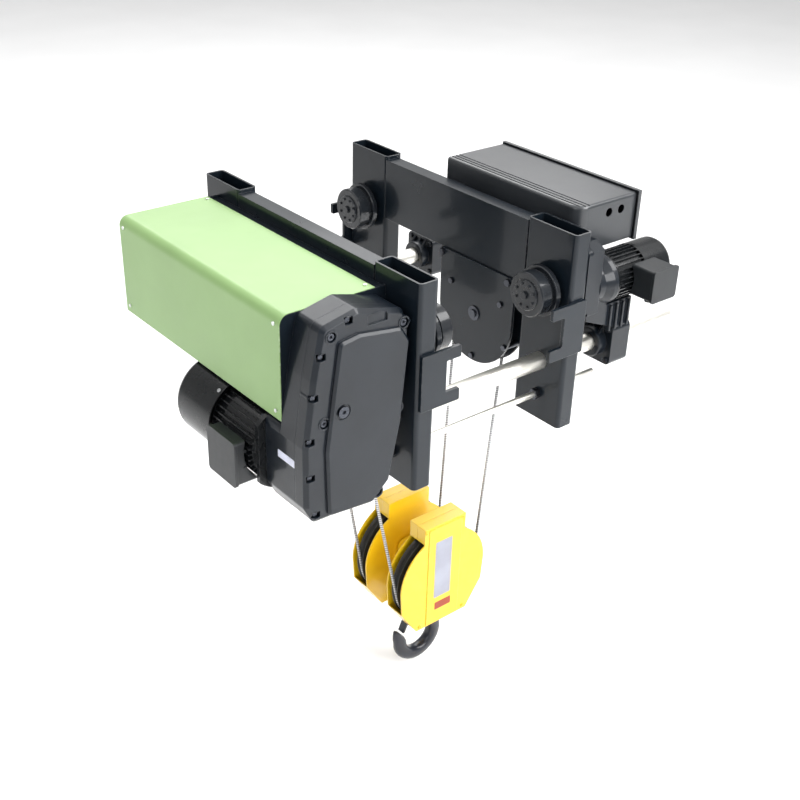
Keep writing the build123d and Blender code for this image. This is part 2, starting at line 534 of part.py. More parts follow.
DEEP_BOLTS = ((-530, 163), (-551, -57), (-318, 141), (-330, -87), (-388, -312))
EDGE_BOLTS = ((-556, 118), (-578, 18), (-590, -96), (-590, -196), (-576, -306), (-480, 190), (-318, 40))
with BuildPart() as gearbox_cover:
    plate_y(OUTLINE, CASE_RIM, CASE_SPLIT - 0.1, corner=20)
    chamfer(gearbox_cover.faces().sort_by(Axis.Y)[0].edges(), length=11)
    plate_y(RAISED, CASE_FACE, CASE_RIM + 1, corner=12)
    chamfer(gearbox_cover.faces().sort_by(Axis.Y)[0].edges(), length=6)
    plate_y(inset(OUTLINE, WALL), CASE_RIM + WALL, CASE_SPLIT + 1, corner=14, mode=Mode.SUBTRACT)
    for x, z in DEEP_BOLTS:
        bar_y(x, CASE_SPLIT - 2, CASE_RIM - 2, z, 17)
        bar_y(x, CASE_RIM - 3, CASE_RIM + 9, z, 13, mode=Mode.SUBTRACT)
        bar_y(x, CASE_SPLIT, CASE_RIM + 8, z, 5.1, mode=Mode.SUBTRACT)
    for x, z in EDGE_BOLTS:
        bar_y(x, CASE_SPLIT - 0.2, CASE_RIM - 1, z, 11)
        block(x - 11, x + 11, CASE_RIM - 4, CASE_RIM + 14, z - 9, z + 9, mode=Mode.SUBTRACT)
        bar_y(x, CASE_SPLIT, CASE_RIM + 13, z, 4.1, mode=Mode.SUBTRACT)
    block(-426, -368, CASE_RIM - 6, CASE_RIM + 5, 162, 188, mode=Mode.SUBTRACT)
    bar_y(-504, CASE_FACE - 1, CASE_FACE + 3, -35, 21, mode=Mode.SUBTRACT)
    for x, z in (SECOND, FIRST):
        bar_y(x, CASE_RIM + WALL + 6, CASE_RIM + 4, z, 20)
        bar_y(x, CASE_RIM + WALL + 7, CASE_RIM + 6, z, STUB_R + RUN, mode=Mode.SUBTRACT)
save(gearbox_cover, "gearbox_cover")

COVER_SCREWS = ((PLATE_FAR - 14, 170), (PLATE_NEAR + 12, 170), (PLATE_FAR - 14, -60), (PLATE_NEAR + 12, -60))
with BuildPart() as case_screws:
    for x, z in DEEP_BOLTS:
        bar_y(x, CASE_RIM + 8.9, CASE_RIM + 1, z, 9)
        bar_y(x, CASE_SPLIT - 0.2, CASE_RIM + 8.5, z, 5)
        bar_y(x, CASE_RIM + 5, CASE_RIM, z, 4, mode=Mode.SUBTRACT)
    for x, z in EDGE_BOLTS:
        bar_y(x, CASE_RIM + 13.9, CASE_RIM + 7, z, 7)
        bar_y(x, CASE_SPLIT - 0.2, CASE_RIM + 13.5, z, 4)
    bar_y(-504, CASE_FACE + 2.9, CASE_FACE - 3, -35, 15)
    with BuildSketch(Plane.XZ.offset(-(CASE_FACE + 1))) as key:
        with Locations((-504, -35)):
            RegularPolygon(6, 6)
    extrude(key.sketch, amount=6, mode=Mode.SUBTRACT)
    for y, z in COVER_SCREWS:
        bar_x(PLATE_X0 - 3, PLATE_X0 - 0.1, y, z, 5)
    for y in (PLATE_FAR - 14, PLATE_NEAR + 12):
        bar_z(-338, y, PLATE_Z1 + 0.1, PLATE_Z1 + 3, 5)
    for bolt in range(-3, 4):
        angle = radians(40 * bolt)
        bar_y(MOTOR_X + 111 * cos(angle), FLANGE_FACE + 0.1, FLANGE_FACE + 7, MOTOR_Z + 111 * sin(angle), 5)
save(case_screws, "case_screws")

Y_PLANE_OUT, Y_PLANE_MID, Y_PLANE_IN = -368, -396, -422   # rear faces of the three gear pairs
DRUM_GEAR_R, SECOND_GEAR_R, FIRST_GEAR_R = 100, 72, 66
OUT_PINION_R, MID_PINION_R, MOTOR_PINION_R = 22, 18, 14
TOOTH_GAP = 0.35
with BuildPart() as drum_gear:
    toothed(Plane.XZ.offset(-Y_PLANE_OUT), (DRUM_X, DRUM_Z), DRUM_GEAR_R - TOOTH_GAP, 59, 22, bore=15 + RUN)
save(drum_gear, "drum_gear")

with BuildPart() as hoist_gear_second:
    toothed(Plane.XZ.offset(-Y_PLANE_MID), SECOND, SECOND_GEAR_R - TOOTH_GAP, 52, 18)
    toothed(Plane.XZ.offset(-Y_PLANE_OUT), SECOND, OUT_PINION_R - TOOTH_GAP, 13, 28)
    bar_y(SECOND[0], CASE_BACK - WALL + 3, CASE_RIM + 8, SECOND[1], STUB_R)
save(hoist_gear_second, "hoist_gear_second")

with BuildPart() as hoist_gear_first:
    toothed(Plane.XZ.offset(-Y_PLANE_IN), FIRST, FIRST_GEAR_R - TOOTH_GAP, 57, 14)
    toothed(Plane.XZ.offset(-Y_PLANE_MID), FIRST, MID_PINION_R - TOOTH_GAP, 13, 26)
    bar_y(FIRST[0], CASE_BACK - WALL + 3, CASE_RIM + 8, FIRST[1], STUB_R)
save(hoist_gear_first, "hoist_gear_first")

# --- hoist motor ---------------------------------------------------------------------------
STATOR_END, FAN_END = -105, 60
MOTOR_R, FAN_COVER_R = 93, 115
FLANGE_R, FLANGE_SIDE = 117, -628    # the flange is a disc cut flat on its outer side
with BuildPart() as hoist_motor_case:
    bar_y(MOTOR_X, MOTOR_END + 0.1, FLANGE_FACE, MOTOR_Z, FLANGE_R)
    block(MOTOR_X - FLANGE_R, FLANGE_SIDE, MOTOR_END, FLANGE_FACE + 1, MOTOR_Z - FLANGE_R, MOTOR_Z + FLANGE_R,
          mode=Mode.SUBTRACT)
    with BuildSketch(Plane.XZ.offset(-STATOR_END)) as ribs:
        with Locations((MOTOR_X, MOTOR_Z)):
            Circle(MOTOR_R)
            with PolarLocations(MOTOR_R, 40):
                Rectangle(22, 3.5)
    extrude(ribs.sketch, amount=STATOR_END - FLANGE_FACE)
    bar_y(MOTOR_X, -268, STATOR_END - 8, MOTOR_Z, 71, mode=Mode.SUBTRACT)
    bar_y(MOTOR_X, MOTOR_END, STATOR_END + 1, MOTOR_Z, 14 + RUN, mode=Mode.SUBTRACT)
save(hoist_motor_case, "hoist_motor_case")

with BuildPart() as hoist_rotor:
    spin_y(MOTOR_X, MOTOR_Z, [(-442, 0), (-442, 12), (-420, 12), (-420, 14), (-262, 14), (-262, 69.5),
                              (-122, 69.5), (-122, 14), (36, 14), (36, 0)])
    toothed(Plane.XZ.offset(-Y_PLANE_IN - 2), (MOTOR_X, MOTOR_Z), MOTOR_PINION_R - TOOTH_GAP, 12, 20)
save(hoist_rotor, "hoist_rotor")

with BuildPart() as brake_fan:
    spin_y(MOTOR_X, MOTOR_Z, [(-84, 14 + RUN), (-84, 90), (-74, 90), (-74, 24), (2, 24), (2, 96), (5, 96),
                              (5, 24), (32, 24), (32, 14 + RUN)])
    for blade in range(9):
        angle = 40 * blade
        with Locations(Location((MOTOR_X, 17, MOTOR_Z), (0, angle, 0))):
            with Locations((58, 0, 0)):
                Box(74, 26, 3)
save(brake_fan, "brake_fan")

with BuildPart() as hoist_fan_cover:
    spin_y(MOTOR_X, MOTOR_Z, [(STATOR_END + 0.1, FAN_COVER_R - 3), (STATOR_END + 0.1, FAN_COVER_R),
                              (FAN_END - 10, FAN_COVER_R), (FAN_END - 3, FAN_COVER_R - 3),
                              (FAN_END, FAN_COVER_R - 10), (FAN_END, 0), (FAN_END - 3, 0),
                              (FAN_END - 3, FAN_COVER_R - 12), (FAN_END - 9, FAN_COVER_R - 4),
                              (FAN_END - 14, FAN_COVER_R - 3)])
    with BuildSketch(Plane.XZ.offset(-FAN_END - 1)) as vents:
        with Locations((MOTOR_X, MOTOR_Z)):
            for ring in (30, 52, 74, 93):
                with PolarLocations(ring, int(ring / 3.4)):
                    Circle(4.2)
    extrude(vents.sketch, amount=6, mode=Mode.SUBTRACT)
save(hoist_fan_cover, "hoist_fan_cover")

BOX_X0, BOX_Y0, BOX_Y1, BOX_Z0, BOX_Z1 = -683, -262, -140, -288, -164
with BuildPart() as hoist_terminal_box:
    block(BOX_X0 + 9, -600, BOX_Y0, BOX_Y1, BOX_Z0, BOX_Z1)
    fillet(hoist_terminal_box.edges().filter_by(Axis.X), radius=8)
    with BuildSketch(Plane.YZ.offset(BOX_X0)) as lid:
        with Locations(((BOX_Y0 + BOX_Y1) / 2, (BOX_Z0 + BOX_Z1) / 2)):
            RectangleRounded(BOX_Y1 - BOX_Y0 + 6, BOX_Z1 - BOX_Z0 + 6, 10)
    extrude(lid.sketch, amount=9)
    block(-640, -612, BOX_Y0 + 5, BOX_Y1 - 5, BOX_Z0 + 5, BOX_Z1 - 5, mode=Mode.SUBTRACT)
    bar_y(MOTOR_X, BOX_Y0 - 10, BOX_Y1 + 10, MOTOR_Z, MOTOR_R + 16, mode=Mode.SUBTRACT)
    for z in (-240, -192):
        bar_y(-651, BOX_Y0 - 3, BOX_Y0 + 1, z, 3.5)
    for y in (BOX_Y0 + 38, BOX_Y0 + 78):
        bar_z(-652, y, BOX_Z0 - 12, BOX_Z0 + 1, 11)
save(hoist_terminal_box, "hoist_terminal_box")

# --- travel drive on the near right post ----------------------------------------------------------
TRAVEL_CASE_X0, TRAVEL_CASE_X1 = POST_OUT + 0.5, 350
LAY = (-418, 104)          # (y, z) of the travel gearbox's lay shaft
FLANGE_OUTLINE = [(-481, -12), (-334, -12), (-330, 110), (-350, 180), (-380, 194), (-445, 194), (-481, 175)]
BODY_OUTLINE = [(-481, -12), (-334, -12), (-330, 110), (-340, 144.5), (-418, 144.5), (-424, 194), (-450, 194),
                (-481, 175)]
with BuildPart() as travel_gear_case:
    plate_x(FLANGE_OUTLINE, TRAVEL_CASE_X0, CASE_X0 - 1, corner=14)
    plate_x(BODY_OUTLINE, CASE_X0 - 2, TRAVEL_CASE_X1, corner=2)
    spin_x(TRAVEL_Y, TRAVEL_Z, [(TRAVEL_CASE_X1 - 1, 0), (TRAVEL_CASE_X1 - 1, 56), (368, 58), (392, 70),
                                (404.5, 72), (404.5, 0)])
    plate_y([(TRAVEL_CASE_X0 + 8, 20), (404, 20), (404, -8), (508, -8), (508, ROD_Z + 64.5),
             (CLAMP_X0 + 2, ROD_Z + 64.5), (330, -40)], -464, -452)
    for rib_x in (420, 445, 470, 495):
        block(rib_x - 3, rib_x + 3, -472, -451, ROD_Z + 66, -12)
    block(299, 344, -468, -341, -2, 141, mode=Mode.SUBTRACT)
    bar_x(TRAVEL_CASE_X0 - 1, 300, -WHEEL_Y, WHEEL_R, AXLE_R + RUN, mode=Mode.SUBTRACT)
    bar_x(325, 410, TRAVEL_Y, TRAVEL_Z, 9 + RUN, mode=Mode.SUBTRACT)
    bar_x(296, 347, LAY[0], LAY[1], 8 + RUN, mode=Mode.SUBTRACT)
save(travel_gear_case, "travel_gear_case")

LAY_GEAR_R = 35
TRAVEL_PINION_R = hypot(LAY[0] - TRAVEL_Y, LAY[1] - TRAVEL_Z) - LAY_GEAR_R
LAY_PINION_R = 11
OUTPUT_GEAR_R = hypot(LAY[0] + WHEEL_Y, LAY[1] - WHEEL_R) - LAY_PINION_R
with BuildPart() as travel_output_gear:
    toothed(Plane.YZ.offset(304), (-WHEEL_Y, WHEEL_R), OUTPUT_GEAR_R - 0.4, 44, 18)
    bar_x(172, 324, -WHEEL_Y, WHEEL_R, AXLE_R)
    bar_x(226.5, POST_IN - 0.5, -WHEEL_Y, WHEEL_R, 30)
save(travel_output_gear, "travel_output_gear")

with BuildPart() as travel_gear_shaft:
    toothed(Plane.YZ.offset(330), LAY, LAY_GEAR_R - 0.4, 45, 11)
    toothed(Plane.YZ.offset(303), LAY, LAY_PINION_R - 0.4, 13, 28)
    bar_x(297, 346, LAY[0], LAY[1], 8)
save(travel_gear_shaft, "travel_gear_shaft")

STATOR_X0, STATOR_X1, TRAVEL_END = 405, 520, 622
with BuildPart() as travel_motor_case:
    with BuildSketch(Plane.YZ.offset(STATOR_X0)) as ribs:
        with Locations((TRAVEL_Y, TRAVEL_Z)):
            Circle(62)
            with PolarLocations(64, 32):
                Rectangle(13, 3)
    extrude(ribs.sketch, amount=STATOR_X1 - STATOR_X0)
    bar_x(STATOR_X0, STATOR_X0 + 6, TRAVEL_Y, TRAVEL_Z, 71)
    bar_x(STATOR_X0 + 7, STATOR_X1 - 7, TRAVEL_Y, TRAVEL_Z, 45, mode=Mode.SUBTRACT)
    bar_x(STATOR_X0 - 1, STATOR_X1 + 1, TRAVEL_Y, TRAVEL_Z, 9 + RUN, mode=Mode.SUBTRACT)
save(travel_motor_case, "travel_motor_case")

with BuildPart() as travel_rotor:
    spin_x(TRAVEL_Y, TRAVEL_Z, [(327, 0), (327, 7), (344.5, 7), (344.5, 9), (418, 9), (418, 44), (507, 44), (507, 9), (548, 9),
                                (548, 24), (552, 58), (556, 58), (572, 24), (572, 9), (600, 9), (600, 0)])
    toothed(Plane.YZ.offset(329), (TRAVEL_Y, TRAVEL_Z), TRAVEL_PINION_R - 0.4, 13, 13)
save(travel_rotor, "travel_rotor")

with BuildPart() as travel_fan_cover:
    spin_x(TRAVEL_Y, TRAVEL_Z, [(STATOR_X1 + 0.1, 68.5), (STATOR_X1 + 0.1, 71), (TRAVEL_END - 9, 71),
                                (TRAVEL_END - 2, 68), (TRAVEL_END, 60), (TRAVEL_END, 0),
                                (TRAVEL_END - 2.5, 0), (TRAVEL_END - 2.5, 59), (TRAVEL_END - 5, 66),
                                (TRAVEL_END - 10, 68.5)])
    with BuildSketch(Plane.YZ.offset(TRAVEL_END - 5)) as vents:
        with Locations((TRAVEL_Y, TRAVEL_Z)):
            for ring in (16, 30, 44, 55):
                with PolarLocations(ring, int(ring / 2.4)):
                    Circle(2.8)
    extrude(vents.sketch, amount=8, mode=Mode.SUBTRACT)
save(travel_fan_cover, "travel_fan_cover")

TBOX_X0, TBOX_X1, TBOX_Y0, TBOX_Z0, TBOX_Z1 = 465, 560, -570, 18, 106
with BuildPart() as travel_terminal_box:
    block(TBOX_X0, TBOX_X1, TBOX_Y0, TRAVEL_Y - 60, TBOX_Z0, TBOX_Z1)
    fillet(travel_terminal_box.edges().filter_by(Axis.Y), radius=7)
    with BuildSketch(Plane.XZ.offset(-TBOX_Y0 - 8)) as lid:
        with Locations(((TBOX_X0 + TBOX_X1) / 2, (TBOX_Z0 + TBOX_Z1) / 2)):
            RectangleRounded(TBOX_X1 - TBOX_X0 + 6, TBOX_Z1 - TBOX_Z0 + 6, 9)
    extrude(lid.sketch, amount=8)
    block(TBOX_X0 + 5, TBOX_X1 - 5, TBOX_Y0 + 12, -505, TBOX_Z0 + 5, TBOX_Z1 - 5, mode=Mode.SUBTRACT)
    bar_x(TBOX_X0 - 5, TBOX_X1 + 10, TRAVEL_Y, TRAVEL_Z, 71.2, mode=Mode.SUBTRACT)
    bar_z(TBOX_X0 + 28, -535, TBOX_Z0 - 12, TBOX_Z0 + 1, 11)
    bar_z(TBOX_X0 + 66, -535, TBOX_Z0 - 12, TBOX_Z0 + 1, 11)
save(travel_terminal_box, "travel_terminal_box")

# --- electrical panel ------------------------------------------------------------------------
SHEET = 3
ENTRY_R = 12.5             # cable entry holes in the near end of the panel
ENTRIES = ((429, 241), (477, 241))
HINGE_X, HINGE_Y = 552, 127
with BuildPart() as panel_case:
    block(CASE_X0, CASE_X1, CASE_Y0, CASE_Y1, CASE_Z0, CASE_Z1)
    back_edges = panel_case.edges().filter_by(Axis.Z).group_by(Axis.X)[0]
    fillet(back_edges.sort_by(Axis.Y)[0], radius=40)
    fillet(panel_case.faces().sort_by(Axis.Z)[-1].edges().filter_by(Axis.Y).sort_by(Axis.X)[0], radius=9)
    for groove in range(3):
        x0 = CASE_X0 + 11 + 14 * groove
        block(x0, x0 + 5, CASE_Y0 - 1, CASE_Y1 + 1, CASE_Z1 - 2, CASE_Z1 + 1, mode=Mode.SUBTRACT)
    block(CASE_X0 + 42, CASE_X1 + 1, CASE_Y0 + SHEET, CASE_Y1 - SHEET, CASE_Z0 + SHEET, CASE_Z1 - SHEET - 2,
          mode=Mode.SUBTRACT)
    block(CASE_X0 + SHEET, CASE_X0 + 43, CASE_Y0 + 42, CASE_Y1 - SHEET, CASE_Z0 + SHEET, CASE_Z1 - SHEET - 6,
          mode=Mode.SUBTRACT)
    for x, z in ENTRIES:
        bar_y(x, CASE_Y0 - 1, CASE_Y0 + SHEET + 1, z, ENTRY_R, mode=Mode.SUBTRACT)
    for z0 in (160, 236):
        block(520, 530, CASE_Y1 - 1, HINGE_Y - 2, z0, z0 + 24)
        block(520, HINGE_X, HINGE_Y - 3, HINGE_Y + 1, z0, z0 + 24)
        bar_z(HINGE_X, HINGE_Y, z0, z0 + 24, 5)
        bar_z(HINGE_X, HINGE_Y, z0, z0 + 40, 2.5)
save(panel_case, "panel_case")

DOOR_X0, DOOR_X1 = CASE_X1 + 0.5, CASE_X1 + 12
with BuildPart() as panel_door:
    block(DOOR_X0, DOOR_X1, CASE_Y0 - 8, CASE_Y1 + 6, CASE_Z0 - 6, CASE_Z1 + 6)
    block(DOOR_X0 - 1, DOOR_X1 - SHEET, CASE_Y0 - 5, CASE_Y1 + 3, CASE_Z0 - 3, CASE_Z1 + 3, mode=Mode.SUBTRACT)
    for z0 in (184.5, 260.5):
        bar_z(HINGE_X, HINGE_Y, z0, z0 + 15, 5)
        block(DOOR_X1 - 2, HINGE_X + 3, CASE_Y1 + 3, HINGE_Y, z0, z0 + 15)
        bar_z(HINGE_X, HINGE_Y, z0 - 1, z0 + 16, 2.5 + RUN, mode=Mode.SUBTRACT)
    for z in (180, 244):
        bar_x(DOOR_X1 - 0.5, DOOR_X1 + 5, CASE_Y0 + 4, z, 7)
save(panel_door, "panel_door")

with BuildPart() as control_gear:
    block(316, 319, -360, 100, 156, 262)
    for unit in range(4):
        y0 = -340 + 60 * unit
        block(319.1, 396, y0, y0 + 45, 168, 246)
        block(396, 404, y0 + 8, y0 + 37, 190, 226)
    block(319.1, 400, -60, 50, 160, 248)
    block(319.1, 372, 60, 96, 162, 250)
save(control_gear, "control_gear")

# --- hook block ---------------------------------------------------------------------------
BX, BY, BZ = BLOCK
COVER_OUT_R, COVER_HALF = 166, 35
CAP_HALF, CAP_TOP, SLOT_TOP, SLOT_LOW, FOOT_HALF, FOOT_LOW = 80, 202, 149, -80, 100, -170
SKIN = 4
PIN_R, BEARING_R = 25, 45


def block_cover_outline():
    """Outline of a sheave cover: round top with a square cap and a tapered foot."""
    cap_side = (COVER_OUT_R ** 2 - CAP_HALF ** 2) ** 0.5
    shoulder = (COVER_OUT_R * cos(pi / 6), COVER_OUT_R * sin(pi / 6))
    with BuildSketch() as outline:
        with BuildLine():
            Polyline((-COVER_OUT_R, 0), (-160, SLOT_LOW), (-FOOT_HALF, FOOT_LOW), (FOOT_HALF, FOOT_LOW),
                     (160, SLOT_LOW), (COVER_OUT_R, 0))
            ThreePointArc((COVER_OUT_R, 0), shoulder, (CAP_HALF, cap_side))
            Polyline((CAP_HALF, cap_side), (CAP_HALF, CAP_TOP), (-CAP_HALF, CAP_TOP), (-CAP_HALF, cap_side))
            ThreePointArc((-CAP_HALF, cap_side), (-shoulder[0], shoulder[1]), (-COVER_OUT_R, 0))
        make_face()
    return outline.sketch


def block_cover_half(plate_y0, wall_y0, wall_y1, axle_hole):
    """One half of a sheave cover: its side plate, and the walls of its cap and foot."""
    outline = block_cover_outline()
    wall_face = outline - offset(outline, amount=-SKIN, kind=Kind.INTERSECTION)
    low, high = min(wall_y0, wall_y1), max(wall_y0, wall_y1)
    wall_plane = Plane(origin=(BX, high, BZ), x_dir=(1, 0, 0), z_dir=(0, -1, 0))
    plate_plane = Plane(origin=(BX, plate_y0 + SKIN, BZ), x_dir=(1, 0, 0), z_dir=(0, -1, 0))
    extrude(wall_plane * wall_face, amount=high - low)
    block(BX - 200, BX + 200, low - 1, high + 1, BZ + SLOT_LOW, BZ + SLOT_TOP, mode=Mode.SUBTRACT)
    extrude(plate_plane * outline, amount=SKIN)
    if axle_hole:
        bar_y(BX, plate_y0 - 1, plate_y0 + SKIN + 1, BZ, PIN_R + RUN, mode=Mode.SUBTRACT)


with BuildPart() as block_covers_outer:
    block_cover_half(NEAR_Y - COVER_HALF, NEAR_Y - COVER_HALF + SKIN - 1, NEAR_Y - 0.2, False)
    block(BX - 64, BX + 64, NEAR_Y - COVER_HALF - 2.5, NEAR_Y - COVER_HALF + 1, BZ + FOOT_LOW + 4, BZ + CAP_TOP - 8)
    block_cover_half(FAR_Y + COVER_HALF - SKIN, FAR_Y + 0.2, FAR_Y + COVER_HALF - SKIN + 1, False)
    block(BX - 64, BX + 64, FAR_Y + COVER_HALF - 1, FAR_Y + COVER_HALF + 2.5, BZ + FOOT_LOW + 4, BZ + CAP_TOP - 8)
save(block_covers_outer, "block_covers_outer")

with BuildPart() as block_covers_inner:
    block_cover_half(NEAR_Y + COVER_HALF - SKIN, NEAR_Y + 0.2, NEAR_Y + COVER_HALF - SKIN + 1, True)
    block_cover_half(FAR_Y - COVER_HALF, FAR_Y - COVER_HALF + SKIN - 1, FAR_Y - 0.2, True)
save(block_covers_inner, "block_covers_inner")

STRAP_IN, STRAP_OUT = 34, 46
CROSS_Z, TRUNNION_R = -1030, 20
with BuildPart() as block_straps:
    for sign in (-1, 1):
        y0, y1 = sorted((BY + sign * STRAP_IN, BY + sign * STRAP_OUT))
        plate_y([(BX - 45, BZ + 55), (BX + 45, BZ + 55), (BX + 45, CROSS_Z - 45), (BX - 45, CROSS_Z - 45)],
                y0, y1, corner=30)
        bar_y(BX, y0 - 1, y1 + 1, BZ, PIN_R + RUN, mode=Mode.SUBTRACT)
        bar_y(BX, y0 - 1, y1 + 1, CROSS_Z, TRUNNION_R + RUN, mode=Mode.SUBTRACT)
save(block_straps, "block_straps")

with BuildPart() as block_axle:
    bar_y(BX, NEAR_Y - COVER_HALF + SKIN + 2, FAR_Y + COVER_HALF - SKIN - 2, BZ, PIN_R)
    for sign in (-1, 1):
        inner = BY + sign * (STRAP_OUT + 0.1)
        outer = BY + sign * (SHEAVE_SPAN / 2 - COVER_HALF - 0.1)
        bar_y(BX, min(inner, outer), max(inner, outer), BZ, 38)
save(block_axle, "block_axle")

with BuildPart() as sheave_bearings:
    for y in (NEAR_Y, FAR_Y):
        spin_y(BX, BZ, [(y - 14, PIN_R + RUN), (y + 14, PIN_R + RUN), (y + 14, BEARING_R), (y - 14, BEARING_R)])
save(sheave_bearings, "sheave_bearings")

for sheave_name, y in (("block_sheave_near", NEAR_Y), ("block_sheave_far", FAR_Y)):
    with BuildPart() as block_sheave:
        profile = sheave_profile(BLOCK_PITCH_R, 60, BEARING_R + RUN, BLOCK_PITCH_R + 6.5)
        spin_y(BX, BZ, [(y + along, r) for along, r in profile])
        for hole in range(6):
            angle = radians(60 * hole + 30)
            bar_y(BX + 98 * cos(angle), y - 10, y + 10, BZ + 98 * sin(angle), 22, mode=Mode.SUBTRACT)
    save(block_sheave, sheave_name)

SHANK_R = 22.5
RACE_TOP = CROSS_Z + 46
with BuildPart() as crosshead:
    block(BX - 42, BX + 42, BY - STRAP_IN + 1, BY + STRAP_IN - 1, CROSS_Z - 28, CROSS_Z + 28)
    chamfer(crosshead.edges().filter_by(Axis.Z), length=8)
    bar_y(BX, BY - STRAP_OUT, BY + STRAP_OUT, CROSS_Z, TRUNNION_R)
    bar_z(BX, BY, CROSS_Z - 40, CROSS_Z + 40, SHANK_R + RUN, mode=Mode.SUBTRACT)
save(crosshead, "crosshead")

with BuildPart() as thrust_bearing:
    bar_z(BX, BY, CROSS_Z + 28, RACE_TOP - GAP, 32)
    bar_z(BX, BY, CROSS_Z + 20, RACE_TOP + 1, SHANK_R + RUN, mode=Mode.SUBTRACT)
    with BuildSketch(Plane(origin=BLOCK, x_dir=(1, 0, 0), z_dir=(0, -1, 0))) as race:
        with Locations((33, CROSS_Z + 37 - BZ)):
            Circle(3.5)
    revolve(race.sketch, axis=Axis(BLOCK, (0, 0, 1)), mode=Mode.SUBTRACT)
save(thrust_bearing, "thrust_bearing")

NUT_TOP = RACE_TOP + 32
with BuildPart() as hook_nut:
    with BuildSketch(Plane.XY.offset(RACE_TOP)) as hexagon:
        with Locations((BX, BY)):
            RegularPolygon(32, 6)
            Circle(SHANK_R + 0.05, mode=Mode.SUBTRACT)
    extrude(hexagon.sketch, amount=NUT_TOP - RACE_TOP)
save(hook_nut, "hook_nut")

BOWL_X, BOWL_Z, BOWL_R, BACK_R, HOOK_HALF = 6, -1207, 48, 94, 23    # BOWL_X is from the shank
LATCH_X, LATCH_Z = BX - 31, BOWL_Z + 96
with BuildPart() as hook:
    with BuildSketch(Plane(origin=(BX, BY + HOOK_HALF, BOWL_Z), x_dir=(1, 0, 0), z_dir=(0, -1, 0))) as body:
        with BuildLine():
            shoulder = (BOWL_X + 48, (BACK_R ** 2 - 48 ** 2) ** 0.5)
            ThreePointArc((SHANK_R, 101), (36, 87), shoulder)
            ThreePointArc(shoulder, (BOWL_X + BACK_R, 0), (BOWL_X, -BACK_R))
            ThreePointArc((BOWL_X, -BACK_R), (-60, -67), (-88, 0))
            ThreePointArc((-88, 0), (-91, 28), (-88, 52))
            Line((-88, 52), (-79, 51))
            ThreePointArc((-79, 51), (-58, 30), (BOWL_X - BOWL_R, 0))
            ThreePointArc((BOWL_X - BOWL_R, 0), (BOWL_X, -BOWL_R), (BOWL_X + BOWL_R, 0))
            ThreePointArc((BOWL_X + BOWL_R, 0), (42, 32), (12, 50))
            ThreePointArc((12, 50), (-13, 70), (-SHANK_R, 101))
            Line((-SHANK_R, 101), (SHANK_R, 101))
        make_face()
    extrude(body.sketch, amount=2 * HOOK_HALF)
    bar_z(BX, BY, BOWL_Z + 96, NUT_TOP + 3, SHANK_R)
    for sign in (-1, 1):
        block(LATCH_X - 7, BX - 12, BY + sign * 14, BY + sign * 20, LATCH_Z - 9, LATCH_Z + 9)
    bar_y(LATCH_X, BY - 25, BY + 25, LATCH_Z, 4 + RUN, mode=Mode.SUBTRACT)
save(hook, "hook")

with BuildPart() as latch:
    bar_y(LATCH_X, BY - 22, BY + 22, LATCH_Z, 4)
    bar_y(LATCH_X, BY - 13, BY + 13, LATCH_Z, 7)
    plate_y([(LATCH_X - 7, LATCH_Z), (LATCH_X + 2, LATCH_Z), (BX - 54, BOWL_Z + 43), (BX - 61, BOWL_Z + 41)],
            BY - 13, BY + 13)
save(latch, "latch")

print("falls: drum %.1f, return %.1f each, anchor %.1f mm" % (
    hypot(drum_top[0] - near_left[0], drum_top[1] - near_left[1]),
    hypot(RETURN[0] - right_touch[0], RETURN[2] - right_touch[1]),
    hypot(ANCHOR[0] - far_left[0], ANCHOR[2] - far_left[1])))
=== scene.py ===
import bmesh
import bpy
import json
import math
from mathutils import Matrix, Vector


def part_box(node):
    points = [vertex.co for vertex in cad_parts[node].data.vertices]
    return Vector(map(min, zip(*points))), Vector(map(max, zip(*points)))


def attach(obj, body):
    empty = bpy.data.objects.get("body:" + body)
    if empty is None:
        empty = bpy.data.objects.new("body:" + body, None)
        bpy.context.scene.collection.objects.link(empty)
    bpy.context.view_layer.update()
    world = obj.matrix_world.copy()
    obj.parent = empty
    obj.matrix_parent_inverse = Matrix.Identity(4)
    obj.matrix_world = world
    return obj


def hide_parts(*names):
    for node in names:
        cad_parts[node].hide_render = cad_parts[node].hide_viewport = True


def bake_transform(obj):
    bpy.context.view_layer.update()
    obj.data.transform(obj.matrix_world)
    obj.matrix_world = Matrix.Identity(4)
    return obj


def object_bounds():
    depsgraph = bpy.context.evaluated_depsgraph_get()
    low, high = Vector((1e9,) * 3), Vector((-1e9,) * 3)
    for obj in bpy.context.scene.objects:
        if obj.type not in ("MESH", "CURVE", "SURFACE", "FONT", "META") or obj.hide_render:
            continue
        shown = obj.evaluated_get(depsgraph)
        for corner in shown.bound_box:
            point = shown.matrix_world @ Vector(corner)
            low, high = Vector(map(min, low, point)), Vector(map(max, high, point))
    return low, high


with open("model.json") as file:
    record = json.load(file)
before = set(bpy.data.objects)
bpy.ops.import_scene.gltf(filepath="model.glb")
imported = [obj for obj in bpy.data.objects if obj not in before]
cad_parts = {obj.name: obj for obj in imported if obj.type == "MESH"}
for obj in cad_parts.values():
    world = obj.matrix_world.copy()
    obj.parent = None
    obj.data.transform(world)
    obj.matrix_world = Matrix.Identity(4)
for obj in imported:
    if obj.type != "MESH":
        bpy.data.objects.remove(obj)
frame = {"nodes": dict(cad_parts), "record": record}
cad_low, cad_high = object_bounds()
nodes = frame["nodes"]
MM = 0.001

CORNER_STEPS = 4          # segments in the quarter circle at a plate's corner
SCREW_SIDES = 24
ROPE_SIDES = 20
HOOK_SIDES = 28
FULL_TURN = 2 * math.pi


